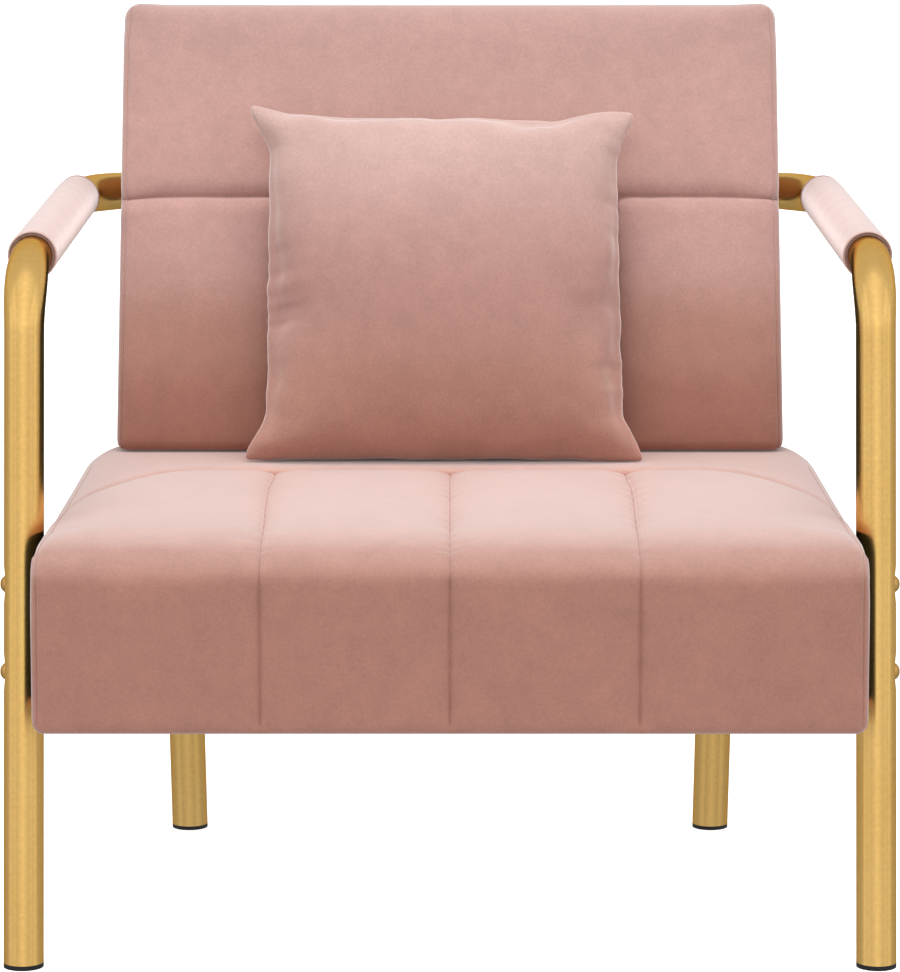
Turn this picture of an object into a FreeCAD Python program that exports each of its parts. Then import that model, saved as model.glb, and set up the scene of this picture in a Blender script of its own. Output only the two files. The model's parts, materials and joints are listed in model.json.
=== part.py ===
import FreeCAD, Part
import math
import os

# Upholstered armchair on a bent steel tube frame, with a loose scatter pillow.
# Millimetres. +X is to the right as one faces the chair, +Y points to the back, +Z is up.
# The origin lies on the floor, in the middle of the chair's bounding box.

V = FreeCAD.Vector

# ---------------------------------------------------------------- driving dimensions
# tube frame
TUBE_R = 17.5            # 35 mm tube
TUBE_WALL = 1.5
BEND_R = 72.0            # centreline radius of both bends
BEND_OVAL = 0.085        # a bent tube flattens by this share of its radius
FRAME_X = 372.0          # centre plane of each side frame
FRONT_FOOT_Y = -309.6
LEG_LEAN = math.radians(9.0)
ARM_CORNER_Z = 603.5
ARM_RISE = math.radians(1.8)
RAIL_Y = 382.0           # cross rail behind the backrest
GLIDE_H = 4.0            # visible rim of the plastic glides
PLUG_LENGTH = 22.0
PLUG_GAP = 0.1           # all round, between a tube and what slides into it
SPLICE_HALF = 80.0
SPLICE_SCREW_X = (28.0, 58.0)

# side bolts, which clamp the seat between the front legs
BOLT_R = 3.9             # M8
BOLT_HOLE_R = 4.2
HEAD_R = 7.0
HEAD_H = 5.0
HEAD_RIM = 1.2           # straight edge under the dome
SOCKET_R = 2.6
SOCKET_DEPTH = 1.4
SIDE_BOLT_LENGTH = 71.0
SIDE_PAD_R = 10.0
BACK_BOLT_LENGTH = 70.0
BACK_PAD_R = 12.0
BACK_WASHER_R = 9.0
WASHER_T = 0.3           # over the crown of the tube; more at its sides

# T-nuts for the bolts
NUT_FLANGE_R = 11.0
NUT_FLANGE_T = 1.5
NUT_BARREL_R = 5.2
NUT_BARREL = 10.0
NUT_HOLE_R = 5.3
NUT_HOLE = 10.5
NUT_POCKET_R = 12.0      # foam cleared round the flange

# screws
SCREW_R = 2.9
SCREW_LENGTH = 24.0
SCREW_HEAD_R = 6.0
SCREW_HEAD_H = 3.2
SCREW_BORE_R = 3.0       # in timber
SCREW_HOLE_R = 3.2       # in steel, cloth and foam
DRIVE_R = 1.9
DRIVE_DEPTH = 1.4
SPLICE_SCREW_R = 2.4
SPLICE_SCREW_LENGTH = 8.0
SPLICE_HEAD_R = 4.6
SPLICE_HEAD_H = 2.8
SPLICE_HOLE_R = 2.6
SPLICE_HEAD_GAP = 0.1
HEAD_ROUNDING = 0.45     # share of a screw head's height
ROOT = 0.5               # how far parts of one fastener run into each other
DISH_DEPTH = 2.0         # the tube is dished under each bolt head
DISH_HALF = 18.0
DISH_GAP = 0.35          # the flat head clears the middle of its dish by this much
SIDE_BOLT_Z = (254.0, 329.2)

# arm padding
ARM_PAD_R = 20.5
ARM_COVER_R = 22.0
ARM_COVER_START_Y = -142.0
ARM_COVER_END_Y = 306.0
ARM_END_ROLL = 3.0

# rear legs
REAR_LEG_X = 259.2
REAR_FOOT_Y = 222.0
REAR_LEAN = math.radians(17.0)
PLATE_HALF = 45.0
PLATE_T = 4.0
PLATE_SCREW = 33.0
PLATE_CORNER = 8.0

# seat
SEAT_HALF = 351.0
SEAT_FRONT_Y = -410.0
SEAT_REAR_Y = 272.0
SEAT_BOTTOM = 228.5
SEAT_TOP_REAR = 385.0
SEAT_TOP_FRONT = 389.5
SEAT_FLAT_Y = 150.0      # behind this the top is level, and carries the backrest
SEAT_FRONT_CUT = 12.0    # corners cut off in plan
SEAT_REAR_CUT = 42.0
CLOTH = 2.0              # velvet with its backing
CLOTH_LIP = 42.0         # cloth folded under the frame
DUST_T = 1.2
DUST_INSET = 16.0        # the dust cover stops short of the seat's edge
DUST_FRONT_CORNER = 12.0
DUST_REAR_CORNER = 50.0
SEAT_SKIRT = 6.0         # foam over the outside of the timber
FRONT_SKIRT = 20.0
TIMBER = 22.0
SIDE_RAIL_TOP = 345.0
CROSS_RAIL_TOP = 320.0
FOAM_UNDERSIDE = 327.0
LEG_BOARD = (95.0, 215.0, 18.0)
BLOCK = 60.0
BLOCK_RAISE = 10.0
SPRING_X = (-220.0, -110.0, 0.0, 110.0, 220.0)
SPRING_WIRE_R = 1.8
SPRING_HALF = 20.0
SPRING_WAVES = 30
CLIP_HALF = 7.5
CLIP_T = 1.8
CLIP_GAP = 0.2

# backrest, drawn upright and then reclined about its lower front edge
RECLINE = 20.0
BACK_Y = 162.9
BACK_Z = 385.0
BACK_HALF = 324.2
BACK_T = 102.0
BACK_H = 461.0
BACK_CUT_ROOM = 80.0     # drawn this far below the seat's top before the level cut
BACK_FRONT_EDGE = 18.0
BACK_REAR_EDGE = 24.0
BACK_CORNER = 12.0
FRAME_SKIRT = 15.0       # foam over the ends of the timber
FRAME_HEADROOM = 24.0    # foam over the top rail
FRAME_LOW = 48.0
BACK_RAIL_H = 50.0       # top rail
BOTTOM_RAIL_H = 60.0
MIDDLE_RAIL_HALF = 32.0
STILE_W = 45.0
BACK_WEB_T = 1.2
BACK_WEB_W = 50.0
BACK_WEB_X = (-120.0, -40.0, 40.0, 120.0)
BACK_WEB_H = (125.0, 215.0, 385.0)
BACK_BOLT_X = 200.0
BRACKET_X = 150.0
BRACKET_W = 40.0
BRACKET_T = 3.0
BRACKET_LOW_Z = 268.0
BRACKET_ARM = 70.0

# pillow, in the backrest's own directions
PILLOW_X = -6.0
PILLOW_HALF = 184.0
PILLOW_WAIST = 18.0      # the sides pull in between the corners
PILLOW_LOW = -19.0
PILLOW_HIGH = 322.0
PILLOW_HALF_T = 58.5
PILLOW_EDGE = 4.0
PILLOW_GAP = 0.5
PILLOW_SWELL_POWER = 0.62
PILLOW_WAIST_POWER = 1.4
PILLOW_FLAT = 0.01       # sections flatter than this are bowed slightly, so that they stay arcs
PILLOW_SLIGHT_BOW = 0.3
PILLOW_SHARES = (0.0, 0.03, 0.1, 0.22, 0.36, 0.5, 0.64, 0.78, 0.9, 0.97, 1.0)

BIG = 2000.0             # half width of a block larger than the chair
PAST = 30.0              # how far a drill or a trimmed bar runs past its end


# ---------------------------------------------------------------- shape helpers
def box(x0, x1, y0, y1, z0, z1):
    return Part.makeBox(x1 - x0, y1 - y0, z1 - z0, V(x0, y0, z0))


def rod(start, end, radius):
    along = end.sub(start)
    return Part.makeCylinder(radius, along.Length, start, along)


def pipe(start, end, outer, inner):
    return rod(start, end, outer).cut(rod(start, end, inner))


def join(shapes):
    result = shapes[0]
    for shape in shapes[1:]:
        result = result.fuse(shape)
    return result.removeSplitter()


def group(shapes):
    return Part.makeCompound(shapes)


def mirrored(shape):
    return shape.mirror(V(0, 0, 0), V(1, 0, 0))


def outline(corners, place):
    """Closed wire through (u, v, radius) corners, each rounded to its own radius."""
    count = len(corners)
    entries = []
    for i, (u, v, radius) in enumerate(corners):
        here = V(u, v, 0)
        before = V(*corners[i - 1][:2], 0).sub(here)
        after = V(*corners[(i + 1) % count][:2], 0).sub(here)
        before.normalize()
        after.normalize()
        if radius <= 0:
            entries.append((here, None, here))
            continue
        half = before.getAngle(after) / 2
        reach = radius / math.tan(half)
        inward = before.add(after)
        inward.normalize()
        middle = here.add(inward.multiply(radius / math.sin(half) - radius))
        entries.append((here.add(before.multiply(reach)), middle, here.add(after.multiply(reach))))
    edges = []
    for i, (first, middle, last) in enumerate(entries):
        if middle is not None:
            arc = Part.Arc(place(first), place(middle), place(last))
            edges.append(arc.toShape())
        following = entries[(i + 1) % count][0]
        if last.distanceToPoint(following) > 1e-6:
            edges.append(Part.makeLine(place(last), place(following)))
    return Part.Wire(edges)


def prism(corners, axis, low, high):
    """Solid with the rounded outline, from low to high along X, Y or Z."""
    places = {
        "X": lambda p: V(low, p.x, p.y),
        "Y": lambda p: V(p.x, low, p.y),
        "Z": lambda p: V(p.x, p.y, low),
    }
    run = {"X": V(high - low, 0, 0), "Y": V(0, high - low, 0), "Z": V(0, 0, high - low)}
    return Part.Face(outline(corners, places[axis])).extrude(run[axis])


def recline(shape):
    """From the backrest's upright drawing to its place on the chair."""
    moved = shape.copy()
    moved.rotate(V(0, 0, 0), V(1, 0, 0), -RECLINE)
    moved.translate(V(0, BACK_Y, BACK_Z))
    return moved


def back_point(x, depth, height):
    """Row coordinates of a point given in the backrest's own directions."""
    angle = math.radians(RECLINE)
    y = BACK_Y + depth * math.cos(angle) + height * math.sin(angle)
    z = BACK_Z - depth * math.sin(angle) + height * math.cos(angle)
    return V(x, y, z)


def back_coordinates(y, z):
    """Depth and height in the backrest's own directions."""
    angle = math.radians(RECLINE)
    depth = (y - BACK_Y) * math.cos(angle) - (z - BACK_Z) * math.sin(angle)
    height = (y - BACK_Y) * math.sin(angle) + (z - BACK_Z) * math.cos(angle)
    return depth, height


# ---------------------------------------------------------------- fasteners
def button_bolt(seat, along, length):
    """Domed bolt with a hexagon socket; seat is the point under its head."""
    direction = V(along)
    direction.normalize()
    dome = HEAD_H - HEAD_RIM
    ball = (HEAD_R ** 2 + dome ** 2) / (2 * dome)
    edge = seat.sub(direction * HEAD_RIM)
    base = rod(seat, edge, HEAD_R)
    centre = seat.add(direction * (ball - HEAD_H))
    cap = Part.makeSphere(ball, centre).common(rod(edge, seat.sub(direction * 2 * HEAD_H), HEAD_R))
    shank = rod(seat.sub(direction * ROOT), seat.add(direction * length), BOLT_R)
    top = seat.sub(direction * HEAD_H)
    socket = rod(top.sub(direction * ROOT), top.add(direction * SOCKET_DEPTH), SOCKET_R)
    return join([base, cap, shank]).cut(socket)


def pan_screw(seat, along, length=SCREW_LENGTH, radius=SCREW_R, head_r=SCREW_HEAD_R, head_h=SCREW_HEAD_H):
    """Round-headed screw; seat is the point under its head."""
    direction = V(along)
    direction.normalize()
    top = seat.sub(direction * head_h)
    head = rod(seat, top, head_r)
    rims = [e for e in head.Edges if e.Closed and e.CenterOfMass.distanceToPoint(top) < head_h / 2]
    head = head.makeFillet(head_h * HEAD_ROUNDING, rims)
    shank = rod(seat.sub(direction * ROOT), seat.add(direction * length), radius)
    drive = rod(top.sub(direction * ROOT), top.add(direction * DRIVE_DEPTH), DRIVE_R)
    return join([head, shank]).cut(drive)


def t_nut(face, along):
    """Flanged nut let into timber; face is on the timber, along points into it."""
    direction = V(along)
    direction.normalize()
    flange = rod(face.sub(direction * NUT_FLANGE_T), face, NUT_FLANGE_R)
    barrel = rod(face.sub(direction * ROOT), face.add(direction * NUT_BARREL), NUT_BARREL_R)
    bore = rod(face.sub(direction * NUT_HOLE), face.add(direction * 2 * NUT_BARREL), BOLT_R + PLUG_GAP)
    return join([flange, barrel]).cut(bore)


# ---------------------------------------------------------------- tube frame
LEG_DIR = V(0, math.sin(LEG_LEAN), math.cos(LEG_LEAN))
ARM_DIR = V(0, math.cos(ARM_RISE), math.sin(ARM_RISE))
ARM_CORNER = V(FRAME_X, FRONT_FOOT_Y + ARM_CORNER_Z * math.tan(LEG_LEAN), ARM_CORNER_Z)
REAR_CORNER = ARM_CORNER.add(ARM_DIR * ((RAIL_Y - ARM_CORNER.y) / ARM_DIR.y))
RAIL_Z = REAR_CORNER.z
RAIL_DEPTH, RAIL_HEIGHT = back_coordinates(RAIL_Y, RAIL_Z)


def leg_y(z):
    return FRONT_FOOT_Y + z * math.tan(LEG_LEAN)


def bend(corner, arriving, leaving, radius):
    """Flattened tube bend between two straights that would meet at the corner."""
    turn = arriving.getAngle(leaving)
    reach = BEND_R * math.tan(turn / 2)
    start = corner.sub(arriving * reach)
    end = corner.add(leaving * reach)
    across = arriving.cross(leaving)
    across.normalize()
    towards = across.cross(arriving)
    centre = start.add(towards * BEND_R)
    stations = 9
    wires = []
    for i in range(stations):
        angle = turn * i / (stations - 1)
        radial = towards * -math.cos(angle) + arriving * math.sin(angle)
        point = centre.add(radial * BEND_R)
        oval = BEND_OVAL * math.sin(math.pi * i / (stations - 1)) ** 2
        wide = radius * (1 + oval)
        narrow = radius * (1 - oval)
        tangent = across.cross(radial)
        wires.append(oval_wire(point, across, radial, tangent, wide, narrow))
    return start, end, Part.makeLoft(wires, True, False)


def oval_wire(point, wide_dir, narrow_dir, tangent, wide, narrow):
    if wide - narrow < 1e-6:
        circle = Part.Circle(point, tangent, wide)
        circle.XAxis = wide_dir
        return Part.Wire([circle.toShape()])
    ends = Part.Ellipse(point.add(wide_dir * wide), point.add(narrow_dir * narrow), point)
    return Part.Wire([ends.toShape()])


def arm_tube_body(radius):
    """Solid bar along the whole side frame, from below the floor to the middle of the rail."""
    foot = V(FRAME_X, leg_y(-PAST), -PAST)
    inward = V(-1, 0, 0)
    front_in, front_out, front_bend = bend(ARM_CORNER, LEG_DIR, ARM_DIR, radius)
    rear_in, rear_out, rear_bend = bend(REAR_CORNER, ARM_DIR, inward, radius)
    leg = rod(foot, front_in, radius)
    arm = rod(front_out, rear_in, radius)
    rail = rod(rear_out, V(0, RAIL_Y, RAIL_Z), radius)
    return leg.fuse([front_bend, arm, rear_bend, rail])


def dish(extra):
    """Balls that press the shallow dishes into the outside of the leg."""
    ball = (DISH_HALF ** 2 + DISH_DEPTH ** 2) / (2 * DISH_DEPTH)
    x = FRAME_X + TUBE_R - DISH_DEPTH + ball
    return group([Part.makeSphere(ball + extra, V(x, leg_y(z), z)) for z in SIDE_BOLT_Z])


def right_arm_tube():
    outer = arm_tube_body(TUBE_R).cut(dish(0))
    inner = arm_tube_body(TUBE_R - TUBE_WALL).cut(dish(TUBE_WALL))
    tube = outer.cut(inner).cut(box(0, BIG, -BIG, BIG, -BIG, GLIDE_H))
    for z in SIDE_BOLT_Z:
        tube = tube.cut(rod(V(FRAME_X - PAST, leg_y(z), z), V(FRAME_X + PAST, leg_y(z), z), BOLT_HOLE_R))
    for x in SPLICE_SCREW_X:
        tube = tube.cut(rod(V(x, RAIL_Y, RAIL_Z - PAST), V(x, RAIL_Y, RAIL_Z), SPLICE_HOLE_R))
    start = back_point(BACK_BOLT_X, RAIL_DEPTH - PAST, RAIL_HEIGHT)
    end = back_point(BACK_BOLT_X, RAIL_DEPTH + PAST, RAIL_HEIGHT)
    return tube.cut(rod(start, end, BOLT_HOLE_R))


def rail_splice():
    start = V(-SPLICE_HALF, RAIL_Y, RAIL_Z)
    end = V(SPLICE_HALF, RAIL_Y, RAIL_Z)
    outer = TUBE_R - TUBE_WALL - PLUG_GAP
    sleeve = pipe(start, end, outer, outer - TUBE_WALL)
    for x in SPLICE_SCREW_X:
        for side in (-1, 1):
            low = V(side * x, RAIL_Y, RAIL_Z - PAST)
            sleeve = sleeve.cut(rod(low, V(side * x, RAIL_Y, RAIL_Z), SPLICE_HOLE_R))
    return sleeve


def splice_screws():
    screws = []
    for x in SPLICE_SCREW_X:
        for side in (-1, 1):
            seat = V(side * x, RAIL_Y, RAIL_Z - TUBE_R - SPLICE_HEAD_GAP)
            size = (SPLICE_SCREW_LENGTH, SPLICE_SCREW_R, SPLICE_HEAD_R, SPLICE_HEAD_H)
            screws.append(pan_screw(seat, V(0, 0, 1), *size))
    return group(screws)


def side_bolts():
    bolts = []
    for z in SIDE_BOLT_Z:
        seat = V(FRAME_X + TUBE_R - DISH_DEPTH + DISH_GAP, leg_y(z), z)
        bolts.append(button_bolt(seat, V(-1, 0, 0), SIDE_BOLT_LENGTH))
    return group(bolts + [mirrored(b) for b in bolts])


def side_saddles():
    """Plastic pads, hollowed to the tube, that keep it off the seat's cloth."""
    leg = rod(V(FRAME_X, leg_y(0), 0), ARM_CORNER, TUBE_R)
    pads = []
    for z in SIDE_BOLT_Z:
        pad = rod(V(SEAT_HALF, leg_y(z), z), V(FRAME_X - TUBE_R / 2, leg_y(z), z), SIDE_PAD_R)
        hole = rod(V(SEAT_HALF - PAST, leg_y(z), z), V(FRAME_X, leg_y(z), z), BOLT_HOLE_R)
        pads.append(pad.cut(leg).cut(hole))
    return group(pads + [mirrored(p) for p in pads])


def side_t_nuts():
    inner_x = SEAT_HALF - CLOTH - SEAT_SKIRT - TIMBER
    nuts = [t_nut(V(inner_x, leg_y(z), z), V(1, 0, 0)) for z in SIDE_BOLT_Z]
    return group(nuts + [mirrored(n) for n in nuts])


def side_bolt_holes(radius):
    holes = []
    for z in SIDE_BOLT_Z:
        inner_x = SEAT_HALF - SIDE_BOLT_LENGTH - PAST
        holes.append(rod(V(inner_x, leg_y(z), z), V(FRAME_X, leg_y(z), z), radius))
    return holes + [mirrored(h) for h in holes]


def glide(foot, direction):
    """Plastic foot: a rim level with the floor and a plug up the tube."""
    low = foot.sub(direction * PAST)
    bar = rod(low, foot.add(direction * PAST), TUBE_R)
    rim = bar.common(box(-BIG, BIG, -BIG, BIG, 0, GLIDE_H))
    core = rod(low, foot.add(direction * (PLUG_LENGTH + GLIDE_H)), TUBE_R - TUBE_WALL - PLUG_GAP)
    plug = core.cut(box(-BIG, BIG, -BIG, BIG, -BIG, GLIDE_H / 2))
    return join([rim, plug])


# ---------------------------------------------------------------- rear legs
REAR_DIR = V(0, -math.sin(REAR_LEAN), math.cos(REAR_LEAN))
PLATE_TOP = SEAT_BOTTOM - DUST_T
PLATE_BOTTOM = PLATE_TOP - PLATE_T
PLATE_Y = REAR_FOOT_Y - PLATE_BOTTOM * math.tan(REAR_LEAN)


def plate_screw_points(z):
    points = []
    for dx in (-PLATE_SCREW, PLATE_SCREW):
        for dy in (-PLATE_SCREW, PLATE_SCREW):
            points.append(V(REAR_LEG_X + dx, PLATE_Y + dy, z))
    return points


def rear_leg_right():
    """Tube welded under its mounting plate."""
    foot = V(REAR_LEG_X, REAR_FOOT_Y, 0)
    low = foot.sub(REAR_DIR * PAST)
    high = foot.add(REAR_DIR * (PLATE_TOP + PAST))
    keep = box(-BIG, BIG, -BIG, BIG, GLIDE_H, PLATE_BOTTOM)
    tube = pipe(low, high, TUBE_R, TUBE_R - TUBE_WALL).common(keep)
    left = REAR_LEG_X - PLATE_HALF
    right = REAR_LEG_X + PLATE_HALF
    front = PLATE_Y - PLATE_HALF
    rear = PLATE_Y + PLATE_HALF
    corners = [(x, y, PLATE_CORNER) for x, y in ((left, front), (right, front), (right, rear), (left, rear))]
    plate = prism(corners, "Z", PLATE_BOTTOM, PLATE_TOP)
    plate = plate.cut(group(plate_screw_holes(SCREW_HOLE_R)))
    return join([tube, plate])


def plate_screws():
    screws = [pan_screw(p, V(0, 0, 1)) for p in plate_screw_points(PLATE_BOTTOM)]
    return group(screws + [mirrored(s) for s in screws])


def plate_screw_holes(radius):
    rise = V(0, 0, 2 * PLATE_T + SCREW_LENGTH)
    holes = [rod(p, p.add(rise), radius) for p in plate_screw_points(PLATE_BOTTOM - PLATE_T)]
    return holes + [mirrored(h) for h in holes]


# ---------------------------------------------------------------- seat
def seat_plan(inset):
    """Upright prism over the seat's plan, with its corners cut off."""
    half = SEAT_HALF - inset
    front = SEAT_FRONT_Y + inset
    rear = SEAT_REAR_Y - inset
    near = SEAT_FRONT_CUT
    far = SEAT_REAR_CUT
    right = [(half - near, front), (half, front + near), (half, rear - far), (half - far, rear)]
    left = [(-x, y) for x, y in reversed(right)]
    return prism([(x, y, 0) for x, y in right + left], "Z", -BIG, BIG)


def seat_shape(inset):
    """Block with a round front lip and soft shoulders."""
    half = SEAT_HALF - inset
    front = SEAT_FRONT_Y + inset
    rear = SEAT_REAR_Y - inset
    low = SEAT_BOTTOM + inset
    top = SEAT_TOP_REAR - inset
    crest = SEAT_TOP_FRONT - inset
    side_view = [
        (front, low, 16 - inset),
        (rear, low, 6 - inset),
        (rear, top, 12 - inset),
        (SEAT_FLAT_Y, top, 0),
        (front, crest, 62 - inset),
    ]
    front_view = [
        (-half, low, 7 - inset),
        (half, low, 7 - inset),
        (half, crest, 24 - inset),
        (-half, crest, 24 - inset),
    ]
    shape = prism(side_view, "X", -BIG, BIG)
    shape = shape.common(prism(front_view, "Y", -BIG, BIG))
    return shape.common(seat_plan(inset))


TIMBER_X = SEAT_HALF - CLOTH - SEAT_SKIRT
TIMBER_FRONT = SEAT_FRONT_Y + CLOTH + FRONT_SKIRT
TIMBER_REAR = SEAT_REAR_Y - CLOTH - SEAT_SKIRT
TIMBER_LOW = SEAT_BOTTOM + CLOTH
TIMBER_INSET = CLOTH + 1.0       # the timber is cut off with the seat's corners


def seat_cover():
    skin = seat_shape(0).cut(seat_shape(CLOTH))
    x = SEAT_HALF - CLOTH_LIP
    y0 = SEAT_FRONT_Y + CLOTH_LIP
    y1 = SEAT_REAR_Y - CLOTH_LIP
    skin = skin.cut(box(-x, x, y0, y1, SEAT_BOTTOM - PAST, SEAT_BOTTOM + PAST))
    skin = skin.cut(group(side_bolt_holes(BOLT_HOLE_R)))
    return skin.cut(group(bracket_screw_holes(SCREW_HOLE_R)))


def seat_foam():
    well = box(-TIMBER_X, TIMBER_X, TIMBER_FRONT, TIMBER_REAR, 0, FOAM_UNDERSIDE)
    foam = seat_shape(CLOTH).cut(well.common(seat_plan(TIMBER_INSET)))
    rail = seat_side_timber()
    foam = foam.cut(rail).cut(mirrored(rail))
    foam = foam.cut(group(side_bolt_holes(BOLT_HOLE_R)))
    inner_x = TIMBER_X - TIMBER
    top_z = SIDE_BOLT_Z[-1]
    pocket = rod(V(inner_x - NUT_FLANGE_R, leg_y(top_z), top_z), V(inner_x, leg_y(top_z), top_z), NUT_POCKET_R)
    foam = foam.cut(pocket).cut(mirrored(pocket))
    return foam.cut(group(bracket_screw_holes(SCREW_HOLE_R)))


def seat_side_timber():
    x0 = TIMBER_X - TIMBER
    rail = box(x0, TIMBER_X, TIMBER_FRONT, TIMBER_REAR, TIMBER_LOW, SIDE_RAIL_TOP)
    return rail.common(seat_plan(TIMBER_INSET))


def seat_side_rail():
    x0 = TIMBER_X - TIMBER
    rail = seat_side_timber().cut(group(side_bolt_holes(BOLT_HOLE_R)))
    for z in SIDE_BOLT_Z:
        rail = rail.cut(rod(V(x0 - PAST, leg_y(z), z), V(x0 + NUT_HOLE, leg_y(z), z), NUT_HOLE_R))
    return rail


def seat_front_rail():
    x = TIMBER_X - TIMBER
    return box(-x, x, TIMBER_FRONT, TIMBER_FRONT + TIMBER, TIMBER_LOW, CROSS_RAIL_TOP)


def seat_rear_rail():
    x = TIMBER_X - TIMBER
    rail = box(-x, x, TIMBER_REAR - TIMBER, TIMBER_REAR, TIMBER_LOW, CROSS_RAIL_TOP)
    return rail.common(seat_plan(TIMBER_INSET)).cut(group(bracket_screw_holes(SCREW_BORE_R)))


def leg_board():
    x = TIMBER_X - TIMBER
    front, rear, thick = LEG_BOARD
    board = box(-x, x, front, rear, TIMBER_LOW, TIMBER_LOW + thick)
    return board.cut(group(plate_screw_holes(SCREW_BORE_R)))


def corner_blocks():
    """Triangular glue blocks in the front corners of the frame."""
    x = TIMBER_X - TIMBER
    y = TIMBER_FRONT + TIMBER
    z0 = TIMBER_LOW + BLOCK_RAISE
    points = [V(x, y, z0), V(x - BLOCK, y, z0), V(x, y + BLOCK, z0), V(x, y, z0)]
    block = Part.Face(Part.makePolygon(points)).extrude(V(0, 0, BLOCK))
    return group([block, mirrored(block)])


def zigzag_path(x, z):
    """Wavy spring wire from the front rail to the rear rail."""
    y0 = TIMBER_FRONT + TIMBER / 2
    y1 = TIMBER_REAR - TIMBER / 2
    step = (y1 - y0) / SPRING_WAVES
    edges = []
    for i in range(SPRING_WAVES + 1):
        y = y0 + i * step
        side = 1 if i % 2 == 0 else -1
        here = V(x + side * SPRING_HALF, y, z)
        across = V(x - side * SPRING_HALF, y, z)
        edges.append(Part.makeLine(across, here))
        if i < SPRING_WAVES:
            middle = V(x + side * (SPRING_HALF + step / 2), y + step / 2, z)
            edges.append(Part.Arc(here, middle, here.add(V(0, step, 0))).toShape())
    return Part.Wire(edges)


def zigzag_springs():
    springs = []
    z = CROSS_RAIL_TOP + SPRING_WIRE_R
    first = zigzag_path(SPRING_X[0], z)
    start = first.Edges[0].firstVertex().Point
    circle = Part.Circle(start, V(1, 0, 0), SPRING_WIRE_R).toShape()
    spring = first.makePipeShell([Part.Wire([circle])], True, True)
    for x in SPRING_X:
        copy = spring.copy()
        copy.translate(V(x - SPRING_X[0], 0, 0))
        springs.append(copy)
    return group(springs)


def spring_clips():
    """Steel clips that hold each spring end on its rail."""
    clips = []
    z = CROSS_RAIL_TOP + SPRING_WIRE_R
    for x in SPRING_X:
        for y in (TIMBER_FRONT + TIMBER / 2, TIMBER_REAR - TIMBER / 2):
            top = z + SPRING_WIRE_R + CLIP_T
            clip = box(x - CLIP_HALF, x + CLIP_HALF, y - CLIP_HALF, y + CLIP_HALF, CROSS_RAIL_TOP, top)
            groove_r = SPRING_WIRE_R + CLIP_GAP
            groove = rod(V(x - PAST, y, z), V(x + PAST, y, z), groove_r)
            mouth = box(x - PAST, x + PAST, y - groove_r, y + groove_r, CROSS_RAIL_TOP - PAST, z)
            clips.append(clip.cut(groove).cut(mouth))
    return group(clips)


def dust_cover():
    x = SEAT_HALF - DUST_INSET
    y0 = SEAT_FRONT_Y + DUST_INSET
    y1 = SEAT_REAR_Y - DUST_INSET
    front = DUST_FRONT_CORNER
    rear = DUST_REAR_CORNER
    corners = [(-x, y0, front), (x, y0, front), (x, y1, rear), (-x, y1, rear)]
    sheet = prism(corners, "Z", SEAT_BOTTOM - DUST_T, SEAT_BOTTOM)
    return sheet.cut(group(plate_screw_holes(SCREW_HOLE_R)))


# ---------------------------------------------------------------- backrest
def back_shape(inset):
    """Slab with soft edges, cut level where it stands on the seat."""
    half = BACK_HALF - inset
    top = BACK_H - inset
    far = BACK_T - inset
    low = -BACK_CUT_ROOM
    front_edge = BACK_FRONT_EDGE - inset
    rear_edge = BACK_REAR_EDGE - inset
    corner = BACK_CORNER - inset
    side_view = [(inset, low, 0), (far, low, 0), (far, top, rear_edge), (inset, top, front_edge)]
    front_view = [(-half, low, 0), (half, low, 0), (half, top, corner), (-half, top, corner)]
    plan = [(-half, inset, corner), (half, inset, corner), (half, far, corner), (-half, far, corner)]
    shape = prism(side_view, "X", -BIG, BIG)
    shape = shape.common(prism(front_view, "Y", -BIG, BIG))
    shape = recline(shape.common(prism(plan, "Z", -BIG, BIG)))
    floor = SEAT_TOP_REAR + inset
    return shape.cut(box(-BIG, BIG, -BIG, BIG, -BIG, floor))


FRAME_FAR = BACK_T - CLOTH
FRAME_NEAR = FRAME_FAR - TIMBER
WEB_NEAR = FRAME_NEAR - 2 * BACK_WEB_T
FRAME_HALF = BACK_HALF - CLOTH - FRAME_SKIRT
FRAME_HIGH = BACK_H - CLOTH - FRAME_HEADROOM


def back_cover():
    skin = back_shape(0).cut(back_shape(CLOTH))
    skin = skin.cut(group(back_bolt_holes(BOLT_HOLE_R)))
    return skin.cut(group(bracket_screw_holes(SCREW_HOLE_R)))


def back_foam():
    foam = back_shape(CLOTH)
    well = box(-FRAME_HALF, FRAME_HALF, WEB_NEAR, FRAME_FAR + PAST, FRAME_LOW, FRAME_HIGH)
    foam = foam.cut(recline(well))
    pockets = []
    for x in (-BACK_BOLT_X, BACK_BOLT_X):
        start = back_point(x, WEB_NEAR - NUT_POCKET_R, RAIL_HEIGHT)
        end = back_point(x, FRAME_NEAR, RAIL_HEIGHT)
        pockets.append(rod(start, end, NUT_POCKET_R))
    return foam.cut(group(pockets)).cut(group(bracket_screw_holes(SCREW_HOLE_R)))


def back_stile():
    x0 = FRAME_HALF - STILE_W
    return recline(box(x0, FRAME_HALF, FRAME_NEAR, FRAME_FAR, FRAME_LOW, FRAME_HIGH))


def back_rail(low, high):
    x = FRAME_HALF - STILE_W
    return recline(box(-x, x, FRAME_NEAR, FRAME_FAR, low, high))


def back_middle_rail():
    rail = back_rail(RAIL_HEIGHT - MIDDLE_RAIL_HALF, RAIL_HEIGHT + MIDDLE_RAIL_HALF)
    rail = rail.cut(group(back_bolt_holes(BOLT_HOLE_R)))
    for x in (-BACK_BOLT_X, BACK_BOLT_X):
        start = back_point(x, FRAME_NEAR - PAST, RAIL_HEIGHT)
        end = back_point(x, FRAME_NEAR + NUT_HOLE, RAIL_HEIGHT)
        rail = rail.cut(rod(start, end, NUT_HOLE_R))
    return rail


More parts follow.
